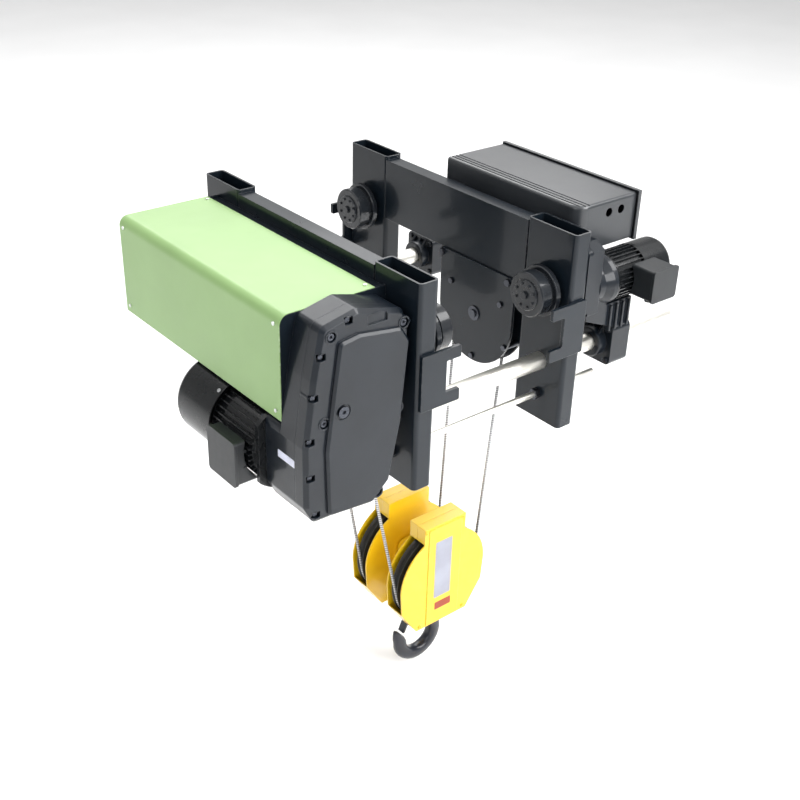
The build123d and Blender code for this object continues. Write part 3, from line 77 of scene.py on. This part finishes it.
# --- procedural materials ------------------------------------------------------------------
class Shader:
    """A Principled material whose colour, roughness and bump come from procedural nodes."""

    def __init__(self, name, roughness=0.4, metallic=0.0, coat=0.0, coat_roughness=0.1, specular=0.5):
        self.material = bpy.data.materials.new(name)
        self.material.use_nodes = True
        self.tree = self.material.node_tree
        self.bsdf = self.tree.nodes["Principled BSDF"]
        self.bsdf.inputs["Roughness"].default_value = roughness
        self.bsdf.inputs["Metallic"].default_value = metallic
        self.bsdf.inputs["Coat Weight"].default_value = coat
        self.bsdf.inputs["Coat Roughness"].default_value = coat_roughness
        self.bsdf.inputs["Specular IOR Level"].default_value = specular
        self.coords = self.new("ShaderNodeTexCoord").outputs["Object"]
        self.normal = None

    def new(self, kind, **settings):
        node = self.tree.nodes.new(kind)
        for key, value in settings.items():
            setattr(node, key, value)
        return node

    def link(self, out_socket, in_socket):
        self.tree.links.new(out_socket, in_socket)

    def scaled(self, scale):
        mapping = self.new("ShaderNodeMapping")
        self.link(self.coords, mapping.inputs["Vector"])
        mapping.inputs["Scale"].default_value = scale
        return mapping.outputs["Vector"]

    def noise(self, scale, detail=3.0, roughness=0.5, stretch=(1, 1, 1)):
        node = self.new("ShaderNodeTexNoise")
        self.link(self.scaled(stretch), node.inputs["Vector"])
        node.inputs["Scale"].default_value = scale
        node.inputs["Detail"].default_value = detail
        node.inputs["Roughness"].default_value = roughness
        return node.outputs["Fac"]

    def ramp(self, factor, stops):
        node = self.new("ShaderNodeValToRGB")
        elements = node.color_ramp.elements
        while len(elements) < len(stops):
            elements.new(0.5)
        for element, (place, colour) in zip(elements, stops):
            element.position = place
            element.color = (*colour, 1.0)
        self.link(factor, node.inputs["Fac"])
        return node.outputs["Color"]

    def mix(self, factor, a, b):
        """Mixes two colours, each a plain triple or a socket."""
        node = self.new("ShaderNodeMix", data_type="RGBA")
        self.link(factor, node.inputs[0])
        for value, socket in ((a, node.inputs[6]), (b, node.inputs[7])):
            if isinstance(value, tuple):
                socket.default_value = (*value, 1.0)
            else:
                self.link(value, socket)
        return node.outputs[2]

    def span(self, factor, low, high):
        """A factor from 0 to 1 stretched over low to high."""
        node = self.new("ShaderNodeMapRange")
        self.link(factor, node.inputs["Value"])
        node.inputs["To Min"].default_value = low
        node.inputs["To Max"].default_value = high
        return node.outputs["Result"]

    def edges(self, radius):
        """Rounded-looking edges, and a mask that is 1 on them."""
        bevel = self.new("ShaderNodeBevel", samples=4)
        bevel.inputs["Radius"].default_value = radius
        geometry = self.new("ShaderNodeNewGeometry")
        dot = self.new("ShaderNodeVectorMath", operation="DOT_PRODUCT")
        self.link(bevel.outputs["Normal"], dot.inputs[0])
        self.link(geometry.outputs["Normal"], dot.inputs[1])
        mask = self.new("ShaderNodeMapRange")
        mask.inputs["From Min"].default_value = 0.995
        mask.inputs["From Max"].default_value = 0.90
        self.link(dot.outputs["Value"], mask.inputs["Value"])
        self.normal = bevel.outputs["Normal"]
        return mask.outputs["Result"]

    def bump(self, height, strength, distance):
        node = self.new("ShaderNodeBump")
        node.inputs["Strength"].default_value = strength
        node.inputs["Distance"].default_value = distance
        self.link(height, node.inputs["Height"])
        if self.normal is not None:
            self.link(self.normal, node.inputs["Normal"])
        self.normal = node.outputs["Normal"]

    def done(self, colour, roughness=None):
        self.link(colour, self.bsdf.inputs["Base Color"])
        if roughness is not None:
            self.link(roughness, self.bsdf.inputs["Roughness"])
        if self.normal is not None:
            self.link(self.normal, self.bsdf.inputs["Normal"])
        return self.material


def paint(name, colour, roughness, coat, peel, wear, worn=(0.30, 0.30, 0.31), edge=1.6 * MM,
          specular=0.5, coat_roughness=0.12, cloud_depth=0.12):
    """Sprayed paint: faint cloudiness, orange peel, dust and slightly worn edges."""
    s = Shader(name, roughness, 0.0, coat, coat_roughness, specular)
    rim = s.edges(edge)
    cloud = s.noise(5.0, 4.0)
    darker = tuple(c * (1 - cloud_depth) for c in colour)
    lighter = tuple(min(1.0, c * (1 + cloud_depth) + 0.002) for c in colour)
    base = s.ramp(cloud, [(0.3, darker), (0.7, lighter)])
    chips = s.noise(70.0, 5.0, 0.65)
    chip_mask = s.new("ShaderNodeMath", operation="MULTIPLY")
    s.link(s.ramp(chips, [(0.5, (0, 0, 0)), (0.64, (wear, wear, wear))]), chip_mask.inputs[0])
    s.link(rim, chip_mask.inputs[1])
    shown = s.mix(chip_mask.outputs[0], base, worn)
    dust = s.span(s.noise(9.0, 6.0, 0.6), roughness - 0.03, roughness + 0.07)
    s.bump(s.noise(260.0, 2.0), peel, 0.25 * MM)
    return s.done(shown, dust)


def cast(name, colour, roughness=0.32, coat=0.4, edge=4.0 * MM, pebble=0.35):
    """Painted casting: pebbled skin under thick glossy paint, with well rounded corners and a painted
    highlight on every edge.
    """
    s = Shader(name, roughness, 0.0, coat, 0.10, 0.2)
    rim = s.edges(edge)
    base = s.ramp(s.noise(9.0, 5.0), [(0.3, tuple(c * 0.8 for c in colour)),
                                      (0.75, tuple(c * 1.25 + 0.002 for c in colour))])
    # painted highlight: every edge is mixed to a paler tint of the paint, as if the rounded corners caught
    # the light
    shown = s.mix(rim, base, tuple(c * 1.5 + 0.012 for c in colour))
    s.bump(s.noise(180.0, 4.0, 0.6), pebble, 0.5 * MM)
    s.bump(s.noise(22.0, 3.0), 0.2, 1.0 * MM)
    return s.done(shown, s.span(s.noise(30.0, 5.0), roughness - 0.05, roughness + 0.10))


def steel(name, colour, roughness, stretch=(1, 1, 1), scale=180.0, stain=0.25):
    """Bare metal with turning or drawing marks along one direction and faint staining."""
    s = Shader(name, roughness, 1.0)
    s.edges(0.8 * MM)
    marks = s.noise(scale, 4.0, 0.6, stretch)
    stains = s.noise(11.0, 5.0, 0.6)
    base = s.ramp(marks, [(0.3, tuple(c * 0.8 for c in colour)), (0.7, colour)])
    shown = s.mix(s.span(stains, 0.0, stain), base, tuple(c * 0.55 for c in colour))
    s.bump(marks, 0.12, 0.15 * MM)
    return s.done(shown, s.span(stains, roughness - 0.06, roughness + 0.14))


def plastic(name, colour, roughness):
    """Moulded plastic or a printed plate: fine grain, and a painted highlight that makes every edge paler.
    """
    s = Shader(name, roughness)
    rim = s.edges(1.2 * MM)
    base = s.ramp(s.noise(14.0, 4.0), [(0.3, tuple(c * 0.85 for c in colour)),
                                       (0.7, tuple(c * 1.12 for c in colour))])
    # painted highlight: every edge is mixed to a paler tint of the colour
    shown = s.mix(rim, base, tuple(min(1.0, c * 1.35 + 0.01) for c in colour))
    s.bump(s.noise(650.0, 2.0), 0.35, 0.15 * MM)
    return s.done(shown, s.span(s.noise(60.0, 3.0), roughness - 0.05, roughness + 0.08))


def rope(name):
    """Galvanised strand: helical lay shown by slanted bands with painted shade between the strands and a
    painted highlight on their crowns, and dark oil in random patches.
    """
    s = Shader(name, 0.42, 0.6)
    mapping = s.scaled((1.0, 1.0, 1.6))
    wave = s.new("ShaderNodeTexWave", wave_type="BANDS", bands_direction="DIAGONAL")
    s.link(mapping, wave.inputs["Vector"])
    wave.inputs["Scale"].default_value = 60.0
    wave.inputs["Distortion"].default_value = 0.6
    wave.inputs["Detail"].default_value = 1.0
    oil = s.noise(35.0, 4.0)
    # painted shade and highlight: the bands run from dark in the grooves between strands to pale on the
    # strand crowns
    base = s.ramp(wave.outputs["Fac"], [(0.10, (0.10, 0.10, 0.11)), (0.5, (0.52, 0.52, 0.53)),
                                        (0.9, (0.80, 0.80, 0.80))])
    shown = s.mix(s.span(oil, 0.0, 0.3), base, (0.20, 0.19, 0.18))
    s.bump(wave.outputs["Fac"], 0.7, 0.7 * MM)
    return s.done(shown, s.span(oil, 0.28, 0.5))


MATERIALS = {
    "frame_paint": paint("frame_paint", (0.0045, 0.0080, 0.0125), 0.27, 0.3, peel=0.12, wear=0.4,
                         edge=2.6 * MM, specular=0.2, coat_roughness=0.08),
    "casting_paint": cast("casting_paint", (0.0040, 0.0068, 0.0110)),
    "motor_paint": paint("motor_paint", (0.005, 0.006, 0.007), 0.25, 0.4, peel=0.16, wear=0.35,
                         edge=2.0 * MM, specular=0.2, coat_roughness=0.08),
    "rod_steel": steel("rod_steel", (0.94, 0.92, 0.85), 0.38, (0.1, 1, 1), 260.0, 0.10),
    "dark_steel": steel("dark_steel", (0.10, 0.105, 0.12), 0.30),
    "zinc": steel("zinc", (0.62, 0.63, 0.64), 0.35),
    "gear_steel": steel("gear_steel", (0.42, 0.42, 0.43), 0.3),
    "wheel_steel": cast("wheel_steel", (0.009, 0.011, 0.014), 0.26, 0.5, 2.5 * MM, 0.2),
    "cover_green": paint("cover_green", (0.25, 0.405, 0.150), 0.40, 0.3, peel=0.2, wear=0.8,
                         worn=(0.80, 0.90, 0.70), edge=2.2 * MM, coat_roughness=0.25,
                         cloud_depth=0.05),
    "panel_grey": paint("panel_grey", (0.020, 0.023, 0.027), 0.34, 0.5, peel=0.3, wear=0.3,
                        coat_roughness=0.22),
    "block_yellow": paint("block_yellow", (0.80, 0.50, 0.006), 0.30, 0.45, peel=0.12, wear=0.3,
                          worn=(1.0, 0.90, 0.30), edge=4.0 * MM, cloud_depth=0.04),
    "sheave_paint": cast("sheave_paint", (0.030, 0.028, 0.024), 0.42, 0.15, 2.0 * MM),
    "hook_paint": cast("hook_paint", (0.012, 0.014, 0.022), 0.28, 0.5, 2.0 * MM, 0.25),
    "rope_wire": rope("rope_wire"),
    "box_plastic": plastic("box_plastic", (0.010, 0.012, 0.014), 0.36),
    "gear_plastic": plastic("gear_plastic", (0.60, 0.60, 0.57), 0.5),
    "drum_paint": steel("drum_paint", (0.30, 0.30, 0.31), 0.4, (1, 0.15, 1), 120.0, 0.5),
    "bearing_steel": steel("bearing_steel", (0.7, 0.7, 0.71), 0.22),
}
LABELS = {
    "label_silver": plastic("label_silver", (0.30, 0.31, 0.37), 0.4),
    "label_red": plastic("label_red", (0.33, 0.045, 0.012), 0.4),
    "label_white": plastic("label_white", (0.66, 0.68, 0.80), 0.34),
}


GEARBOX_BACK_Y, COVER_BOTTOM_Z = -0.34, -0.075     # the green cover's screws are behind and above these


def two_tone_screws():
    """Dark screws in the castings, bright ones on the green cover, told apart by where they are."""
    s = Shader("case_screws", 0.30, 1.0)
    s.edges(0.8 * MM)
    axes = s.new("ShaderNodeSeparateXYZ")
    s.link(s.coords, axes.inputs[0])
    tests = []
    for axis, limit in ((1, GEARBOX_BACK_Y), (2, COVER_BOTTOM_Z)):
        test = s.new("ShaderNodeMath", operation="GREATER_THAN")
        s.link(axes.outputs[axis], test.inputs[0])
        test.inputs[1].default_value = limit
        tests.append(test.outputs[0])
    both = s.new("ShaderNodeMath", operation="MULTIPLY")
    s.link(tests[0], both.inputs[0])
    s.link(tests[1], both.inputs[1])
    marks = s.noise(260.0, 4.0, 0.6)
    dark = s.ramp(marks, [(0.3, (0.045, 0.05, 0.06)), (0.7, (0.09, 0.095, 0.11))])
    bright = s.ramp(marks, [(0.3, (0.66, 0.68, 0.66)), (0.7, (0.88, 0.90, 0.88))])
    s.bump(marks, 0.12, 0.15 * MM)
    return s.done(s.mix(both.outputs[0], dark, bright), s.span(s.noise(30.0), 0.24, 0.40))


slot_of = {row["node"]: row["material_slot"] for row in frame["record"]["subparts"]}


def dress(obj, material):
    obj.data.materials.clear()
    obj.data.materials.append(material)
    for polygon in obj.data.polygons:
        polygon.material_index = 0


for name, obj in nodes.items():
    dress(obj, MATERIALS[slot_of[name]])
dress(nodes["case_screws"], two_tone_screws())


# --- mesh helpers --------------------------------------------------------------------------
def from_bmesh(name, made, body, slot, smooth=True):
    bmesh.ops.recalc_face_normals(made, faces=made.faces)
    data = bpy.data.meshes.new(name)
    made.to_mesh(data)
    made.free()
    obj = bpy.data.objects.new(name, data)
    bpy.context.scene.collection.objects.link(obj)
    for polygon in data.polygons:
        polygon.use_smooth = smooth
    dress(obj, MATERIALS[slot])
    if body:
        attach(obj, body)
    return obj


def loft(made, rings):
    """Joins rings of points, all with the same count, into a tube with closed ends."""
    rows = [[made.verts.new(point) for point in ring] for ring in rings]
    count = len(rows[0])
    for low, high in zip(rows, rows[1:]):
        for i in range(count):
            made.faces.new((low[i], low[(i + 1) % count], high[(i + 1) % count], high[i]))
    made.faces.new(list(reversed(rows[0])))
    made.faces.new(rows[-1])


def rounded_rectangle(width, height, corner):
    points = []
    for cx, cy, start in ((1, 1, 0), (-1, 1, 90), (-1, -1, 180), (1, -1, 270)):
        for step in range(CORNER_STEPS + 1):
            angle = math.radians(start + 90 * step / CORNER_STEPS)
            points.append((cx * (width / 2 - corner) + corner * math.cos(angle),
                           cy * (height / 2 - corner) + corner * math.sin(angle)))
    return points


def plate(name, centre, across, up, out, width, height, thick, corner, body, slot, material=None):
    """A thin plate with rounded corners and a softened front edge, lying on a face."""
    made = bmesh.new()
    rings = []
    soft = min(thick * 0.5, 0.8 * MM)
    for inward, lift in ((0, 0), (0, thick - soft), (soft, thick)):
        ring = []
        outline = rounded_rectangle(width - 2 * inward, height - 2 * inward, max(corner - inward, 0.2 * MM))
        for a, b in outline:
            ring.append(Vector(centre) + Vector(across) * a + Vector(up) * b + Vector(out) * lift)
        rings.append(ring)
    loft(made, rings)
    obj = from_bmesh(name, made, body, slot, smooth=False)
    if material:
        dress(obj, material)
    return obj


def ring_points(centre, across, up, radius, count):
    return [centre + across * radius * math.cos(FULL_TURN * i / count)
            + up * radius * math.sin(FULL_TURN * i / count) for i in range(count)]


def screws(name, places, out, radius, head, body, slot):
    """Cap screws in one piece, each with a domed rim and a round socket."""
    out = Vector(out).normalized()
    across = out.orthogonal().normalized()
    up = out.cross(across)
    made = bmesh.new()
    for place in places:
        rows = [(0, radius), (head * 0.72, radius), (head * 0.92, radius * 0.93), (head, radius * 0.8),
                (head, radius * 0.52), (head * 0.4, radius * 0.48)]
        loft(made, [ring_points(Vector(place) + out * h, across, up, r, SCREW_SIDES) for h, r in rows])
    return from_bmesh(name, made, body, slot, smooth=False)


# --- rope falls: straight tubes between the trolley and the hook block -------------------------------
ROPE_R = 4.5 * MM


def fall(name, node, top, bottom):
    """A straight rope between a fixed point on the trolley and its touching point on a block sheave."""
    top, bottom = Vector(top), Vector(bottom)
    run = (bottom - top).normalized()
    side = Vector((0, 1, 0))
    front = run.cross(side)
    made = bmesh.new()
    rings = []
    for centre in (top, bottom):
        ring = []
        for i in range(ROPE_SIDES):
            angle = FULL_TURN * i / ROPE_SIDES
            ring.append(centre + side * ROPE_R * math.cos(angle) + front * ROPE_R * math.sin(angle))
        rings.append(ring)
    loft(made, rings)
    obj = from_bmesh(name, made, None, "rope_wire")
    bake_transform(obj)
    if node:
        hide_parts(node)


def box_middle(points):
    return Vector([(min(p[i] for p in points) + max(p[i] for p in points)) / 2 for i in range(3)])


def fall_ends(node, side=0):
    """The two ends of a rope in a CAD node. A node with two ropes needs a side, -1 near or 1 far."""
    mesh = nodes[node].data
    low_corner, high_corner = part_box(node)
    middle_y = (low_corner.y + high_corner.y) / 2
    points = [v.co for v in mesh.vertices if side == 0 or (v.co.y - middle_y) * side > 0]
    high = max(p.z for p in points)
    low = min(p.z for p in points)
    end = 4 * MM
    return (box_middle([p for p in points if p.z > high - end]),
            box_middle([p for p in points if p.z < low + end]))


fall("rope_fall_drum_visual", "rope_fall_drum", *fall_ends("rope_fall_drum"))
fall("rope_fall_return_near", "rope_falls_return", *fall_ends("rope_falls_return", -1))
fall("rope_fall_return_far", None, *fall_ends("rope_falls_return", 1))
fall("rope_fall_anchor_visual", "rope_fall_anchor", *fall_ends("rope_fall_anchor"))

# --- hook: forged section that is thick on the inside of the bowl and slim at the tip ---------------
hook_low, hook_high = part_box("hook")
HOOK_BACK, HOOK_BOWL, SHANK_R = 94 * MM, 48 * MM, 22.4 * MM
HOOK_HALF = (hook_high.y - hook_low.y) / 2 - 0.3 * MM
bowl = Vector((hook_high.x - HOOK_BACK, (hook_low.y + hook_high.y) / 2, hook_low.z + HOOK_BACK))
shank_x = bowl.x - 6 * MM


def hook_ring(outer, inner, half, square, fat):
    """One section of the hook between an outer and an inner point, which are relative to the shank."""
    middle = (outer + inner) / 2
    reach = (inner - outer) / 2
    ring = []
    for i in range(HOOK_SIDES):
        angle = FULL_TURN * i / HOOK_SIDES
        c, q = math.cos(angle), math.sin(angle)
        along = math.copysign(abs(c) ** square, c)
        wide = math.copysign(abs(q) ** square, q) * half * (1 + fat * along) / (1 + fat)
        ring.append(Vector((middle.x + reach.x * along, bowl.y + wide, middle.y + reach.y * along)))
    return ring


def shank_relative(x, z):
    return Vector((shank_x + x * MM, bowl.z + z * MM))


rings = []
for z in (hook_high.z, hook_high.z - 1.5 * MM, bowl.z + 118 * MM):
    radius = SHANK_R - (1.5 * MM if z == hook_high.z else 0)
    rings.append(hook_ring(Vector((shank_x + radius, z)), Vector((shank_x - radius, z)), radius, 1.0, 0.0))
for outer, inner, share in (((22.4, 103), (-22.4, 103), 0.0), ((28, 94), (-20, 85), 0.25),
                            ((38, 88), (-14, 73), 0.5), ((51, 82), (-2, 60), 0.75)):
    rings.append(hook_ring(shank_relative(*outer), shank_relative(*inner),
                           SHANK_R + (HOOK_HALF - SHANK_R) * share, 1.0 - 0.2 * share, 0.1 * share))
for step in range(19):
    angle = math.radians(52 - 13 * step)
    turn = Vector((math.cos(angle), math.sin(angle)))
    slim = max(0.0, (step - 12) / 6)
    rings.append(hook_ring(Vector((bowl.x, bowl.z)) + turn * (HOOK_BACK - 0.3 * MM),
                           Vector((bowl.x, bowl.z)) + turn * (HOOK_BOWL + 0.3 * MM),
                           HOOK_HALF * (1 - 0.28 * slim), 0.8, 0.12))
for outer, inner, half in (((-90.4, 16), (-49, 17), 0.68), ((-90.6, 32), (-60, 31), 0.60),
                           ((-89, 45), (-71, 44), 0.50), ((-86.5, 51), (-79, 50.5), 0.34)):
    rings.append(hook_ring(shank_relative(*outer), shank_relative(*inner), HOOK_HALF * half, 0.85, 0.1))
hook_made = bmesh.new()
loft(hook_made, rings)
hook = from_bmesh("hook_forging", hook_made, "hook_body", "hook_paint")
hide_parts("hook")
for side in (-1, 1):
    plate("latch_lug_near" if side < 0 else "latch_lug_far",
          (shank_x - 25 * MM, bowl.y + side * 14.2 * MM, bowl.z + 96 * MM),
          (1, 0, 0), (0, 0, 1), (0, side, 0), 26 * MM, 18 * MM, 5.6 * MM, 7 * MM, "hook_body", "hook_paint")

# --- hook block: blank labels and cover screws -------------------------------------------------------
cover_low, cover_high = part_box("block_covers_outer")
axle_x, axle_z = (cover_low.x + cover_high.x) / 2, cover_high.z - 202 * MM
plate("load_plate", (axle_x - 5 * MM, cover_low.y, axle_z + 36 * MM), (1, 0, 0), (0, 0, 1), (0, -1, 0),
      65 * MM, 210 * MM, 0.8 * MM, 4 * MM, "block_body", "zinc", LABELS["label_silver"])
plate("lower_plate", (axle_x, cover_low.y, axle_z - 103 * MM), (1, 0, 0), (0, 0, 1), (0, -1, 0),
      64 * MM, 28 * MM, 0.8 * MM, 3 * MM, "block_body", "gear_plastic", LABELS["label_red"])
RAISED = 2.5 * MM
cover_spots = ((69.12, 186), (-77.76, 190), (86, -158), (-88, -158))     # from the axle, in mm
for side, face in ((-1, cover_low.y + RAISED), (1, cover_high.y - RAISED)):
    screws("cover_screws_near" if side < 0 else "cover_screws_far",
           [(axle_x + x * MM, face, axle_z + z * MM) for x, z in cover_spots],
           (0, side, 0), 6 * MM, 3.2 * MM, "block_body", "block_yellow")

# --- small plate on the gearbox and screws on the fan covers -------------------------------------------
housing_low, housing_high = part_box("gearbox_housing")
plate("rating_plate", (housing_low.x, -378.5 * MM, -171 * MM), (0, 1, 0), (0, 0, 1), (-1, 0, 0),
      70 * MM, 21 * MM, 0.8 * MM, 2 * MM, "trolley", "zinc", LABELS["label_white"])
fan_low, fan_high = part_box("hoist_fan_cover")
fan_x, fan_z = (fan_low.x + fan_high.x) / 2, (fan_low.z + fan_high.z) / 2
fan_r = (fan_high.z - fan_low.z) / 2
for index in range(4):
    angle = math.radians(128 + 90 * index)
    out = Vector((math.cos(angle), 0, math.sin(angle)))
    spot = Vector((fan_x, fan_low.y + 12 * MM, fan_z)) + out * (fan_r - 0.2 * MM)
    screws("fan_cover_screw_%d" % index, [spot], out, 5.5 * MM, 3 * MM, "trolley", "zinc")

# --- floor, light and camera -----------------------------------------------------------------
floor_z = cad_low.z - 0.02
floor_mesh = bpy.data.meshes.new("floor")
floor_made = bmesh.new()
FLOOR_HALF, SWEEP_Y, SWEEP_R, WALL_TOP = 30, 14.0, 4.0, 24.0
sweep = [math.radians(a) for a in range(10, 91, 10)]
profile = ([(-FLOOR_HALF, 0.0), (SWEEP_Y, 0.0)]
           + [(SWEEP_Y + SWEEP_R * math.sin(a), SWEEP_R - SWEEP_R * math.cos(a)) for a in sweep]
           + [(SWEEP_Y + SWEEP_R, WALL_TOP)])
for (y0, z0), (y1, z1) in zip(profile, profile[1:]):
    floor_made.faces.new([floor_made.verts.new((x, y, floor_z + z)) for x, y, z in (
        (-FLOOR_HALF, y0, z0), (FLOOR_HALF, y0, z0), (FLOOR_HALF, y1, z1), (-FLOOR_HALF, y1, z1))])
bmesh.ops.remove_doubles(floor_made, verts=floor_made.verts, dist=0.0001)
floor_made.to_mesh(floor_mesh)
floor_made.free()
floor = bpy.data.objects.new("floor", floor_mesh)
bpy.context.scene.collection.objects.link(floor)
floor_shader = Shader("floor_paint", 0.8)
dress(floor, floor_shader.done(floor_shader.ramp(floor_shader.noise(1.2, 2.0), [
    (0.3, (0.87, 0.87, 0.87)), (0.7, (0.90, 0.90, 0.90))])))
for polygon in floor.data.polygons:
    polygon.use_smooth = True

world = bpy.data.worlds.new("studio")
bpy.context.scene.world = world
world.use_nodes = True
background = world.node_tree.nodes["Background"]
background.inputs["Color"].default_value = (1.0, 1.0, 1.0, 1.0)
background.inputs["Strength"].default_value = 0.40
bpy.context.scene.view_settings.view_transform = "Standard"


def softbox(name, place, target, size, power):
    light = bpy.data.lights.new(name, "AREA")
    light.shape = "RECTANGLE"
    light.size, light.size_y = size
    light.energy = power
    obj = bpy.data.objects.new(name, light)
    obj.location = place
    obj.rotation_mode = "QUATERNION"
    obj.rotation_quaternion = (Vector(target) - Vector(place)).to_track_quat("-Z", "Y")
    bpy.context.scene.collection.objects.link(obj)


middle = (cad_low + cad_high) / 2
softbox("top_light", (0.0, 0.0, 9.0), (0.0, 0.0, 0.0), (22.0, 22.0), 1500)
softbox("over_light", (2.3, -2.4, 3.8), middle, (2.8, 2.8), 200)
softbox("key_light", (0.9, -5.0, 2.0), middle, (3.0, 3.0), 270)
softbox("left_light", (-5.0, -1.6, 1.8), middle, (3.0, 3.0), 60)
softbox("rear_light", (3.4, 5.3, 4.8), middle, (6.0, 4.0), 230)

# The camera's place and turn come from the corners of the four posts in the photograph.
CAMERA_AT = (-1.9275, -2.3857, 1.3514)
AZIMUTH, ELEVATION, ROLL = math.radians(-39.774), math.radians(29.517), math.radians(1.676)
right = Vector((math.cos(AZIMUTH), math.sin(AZIMUTH), 0))
ahead = Vector((-math.sin(AZIMUTH) * math.cos(ELEVATION), math.cos(AZIMUTH) * math.cos(ELEVATION),
                -math.sin(ELEVATION)))
upward = right.cross(ahead)
image_right = right * math.cos(ROLL) + upward * math.sin(ROLL)
image_up = -right * math.sin(ROLL) + upward * math.cos(ROLL)
camera_data = bpy.data.cameras.new("camera")
camera_data.sensor_width = 36.0
camera_data.lens = 52.95
camera_data.clip_start, camera_data.clip_end = 0.05, 100.0
camera = bpy.data.objects.new("camera", camera_data)
bpy.context.scene.collection.objects.link(camera)
camera.matrix_world = Matrix((
    (image_right.x, image_up.x, -ahead.x, CAMERA_AT[0]),
    (image_right.y, image_up.y, -ahead.y, CAMERA_AT[1]),
    (image_right.z, image_up.z, -ahead.z, CAMERA_AT[2]),
    (0, 0, 0, 1)))
bpy.context.scene.camera = camera
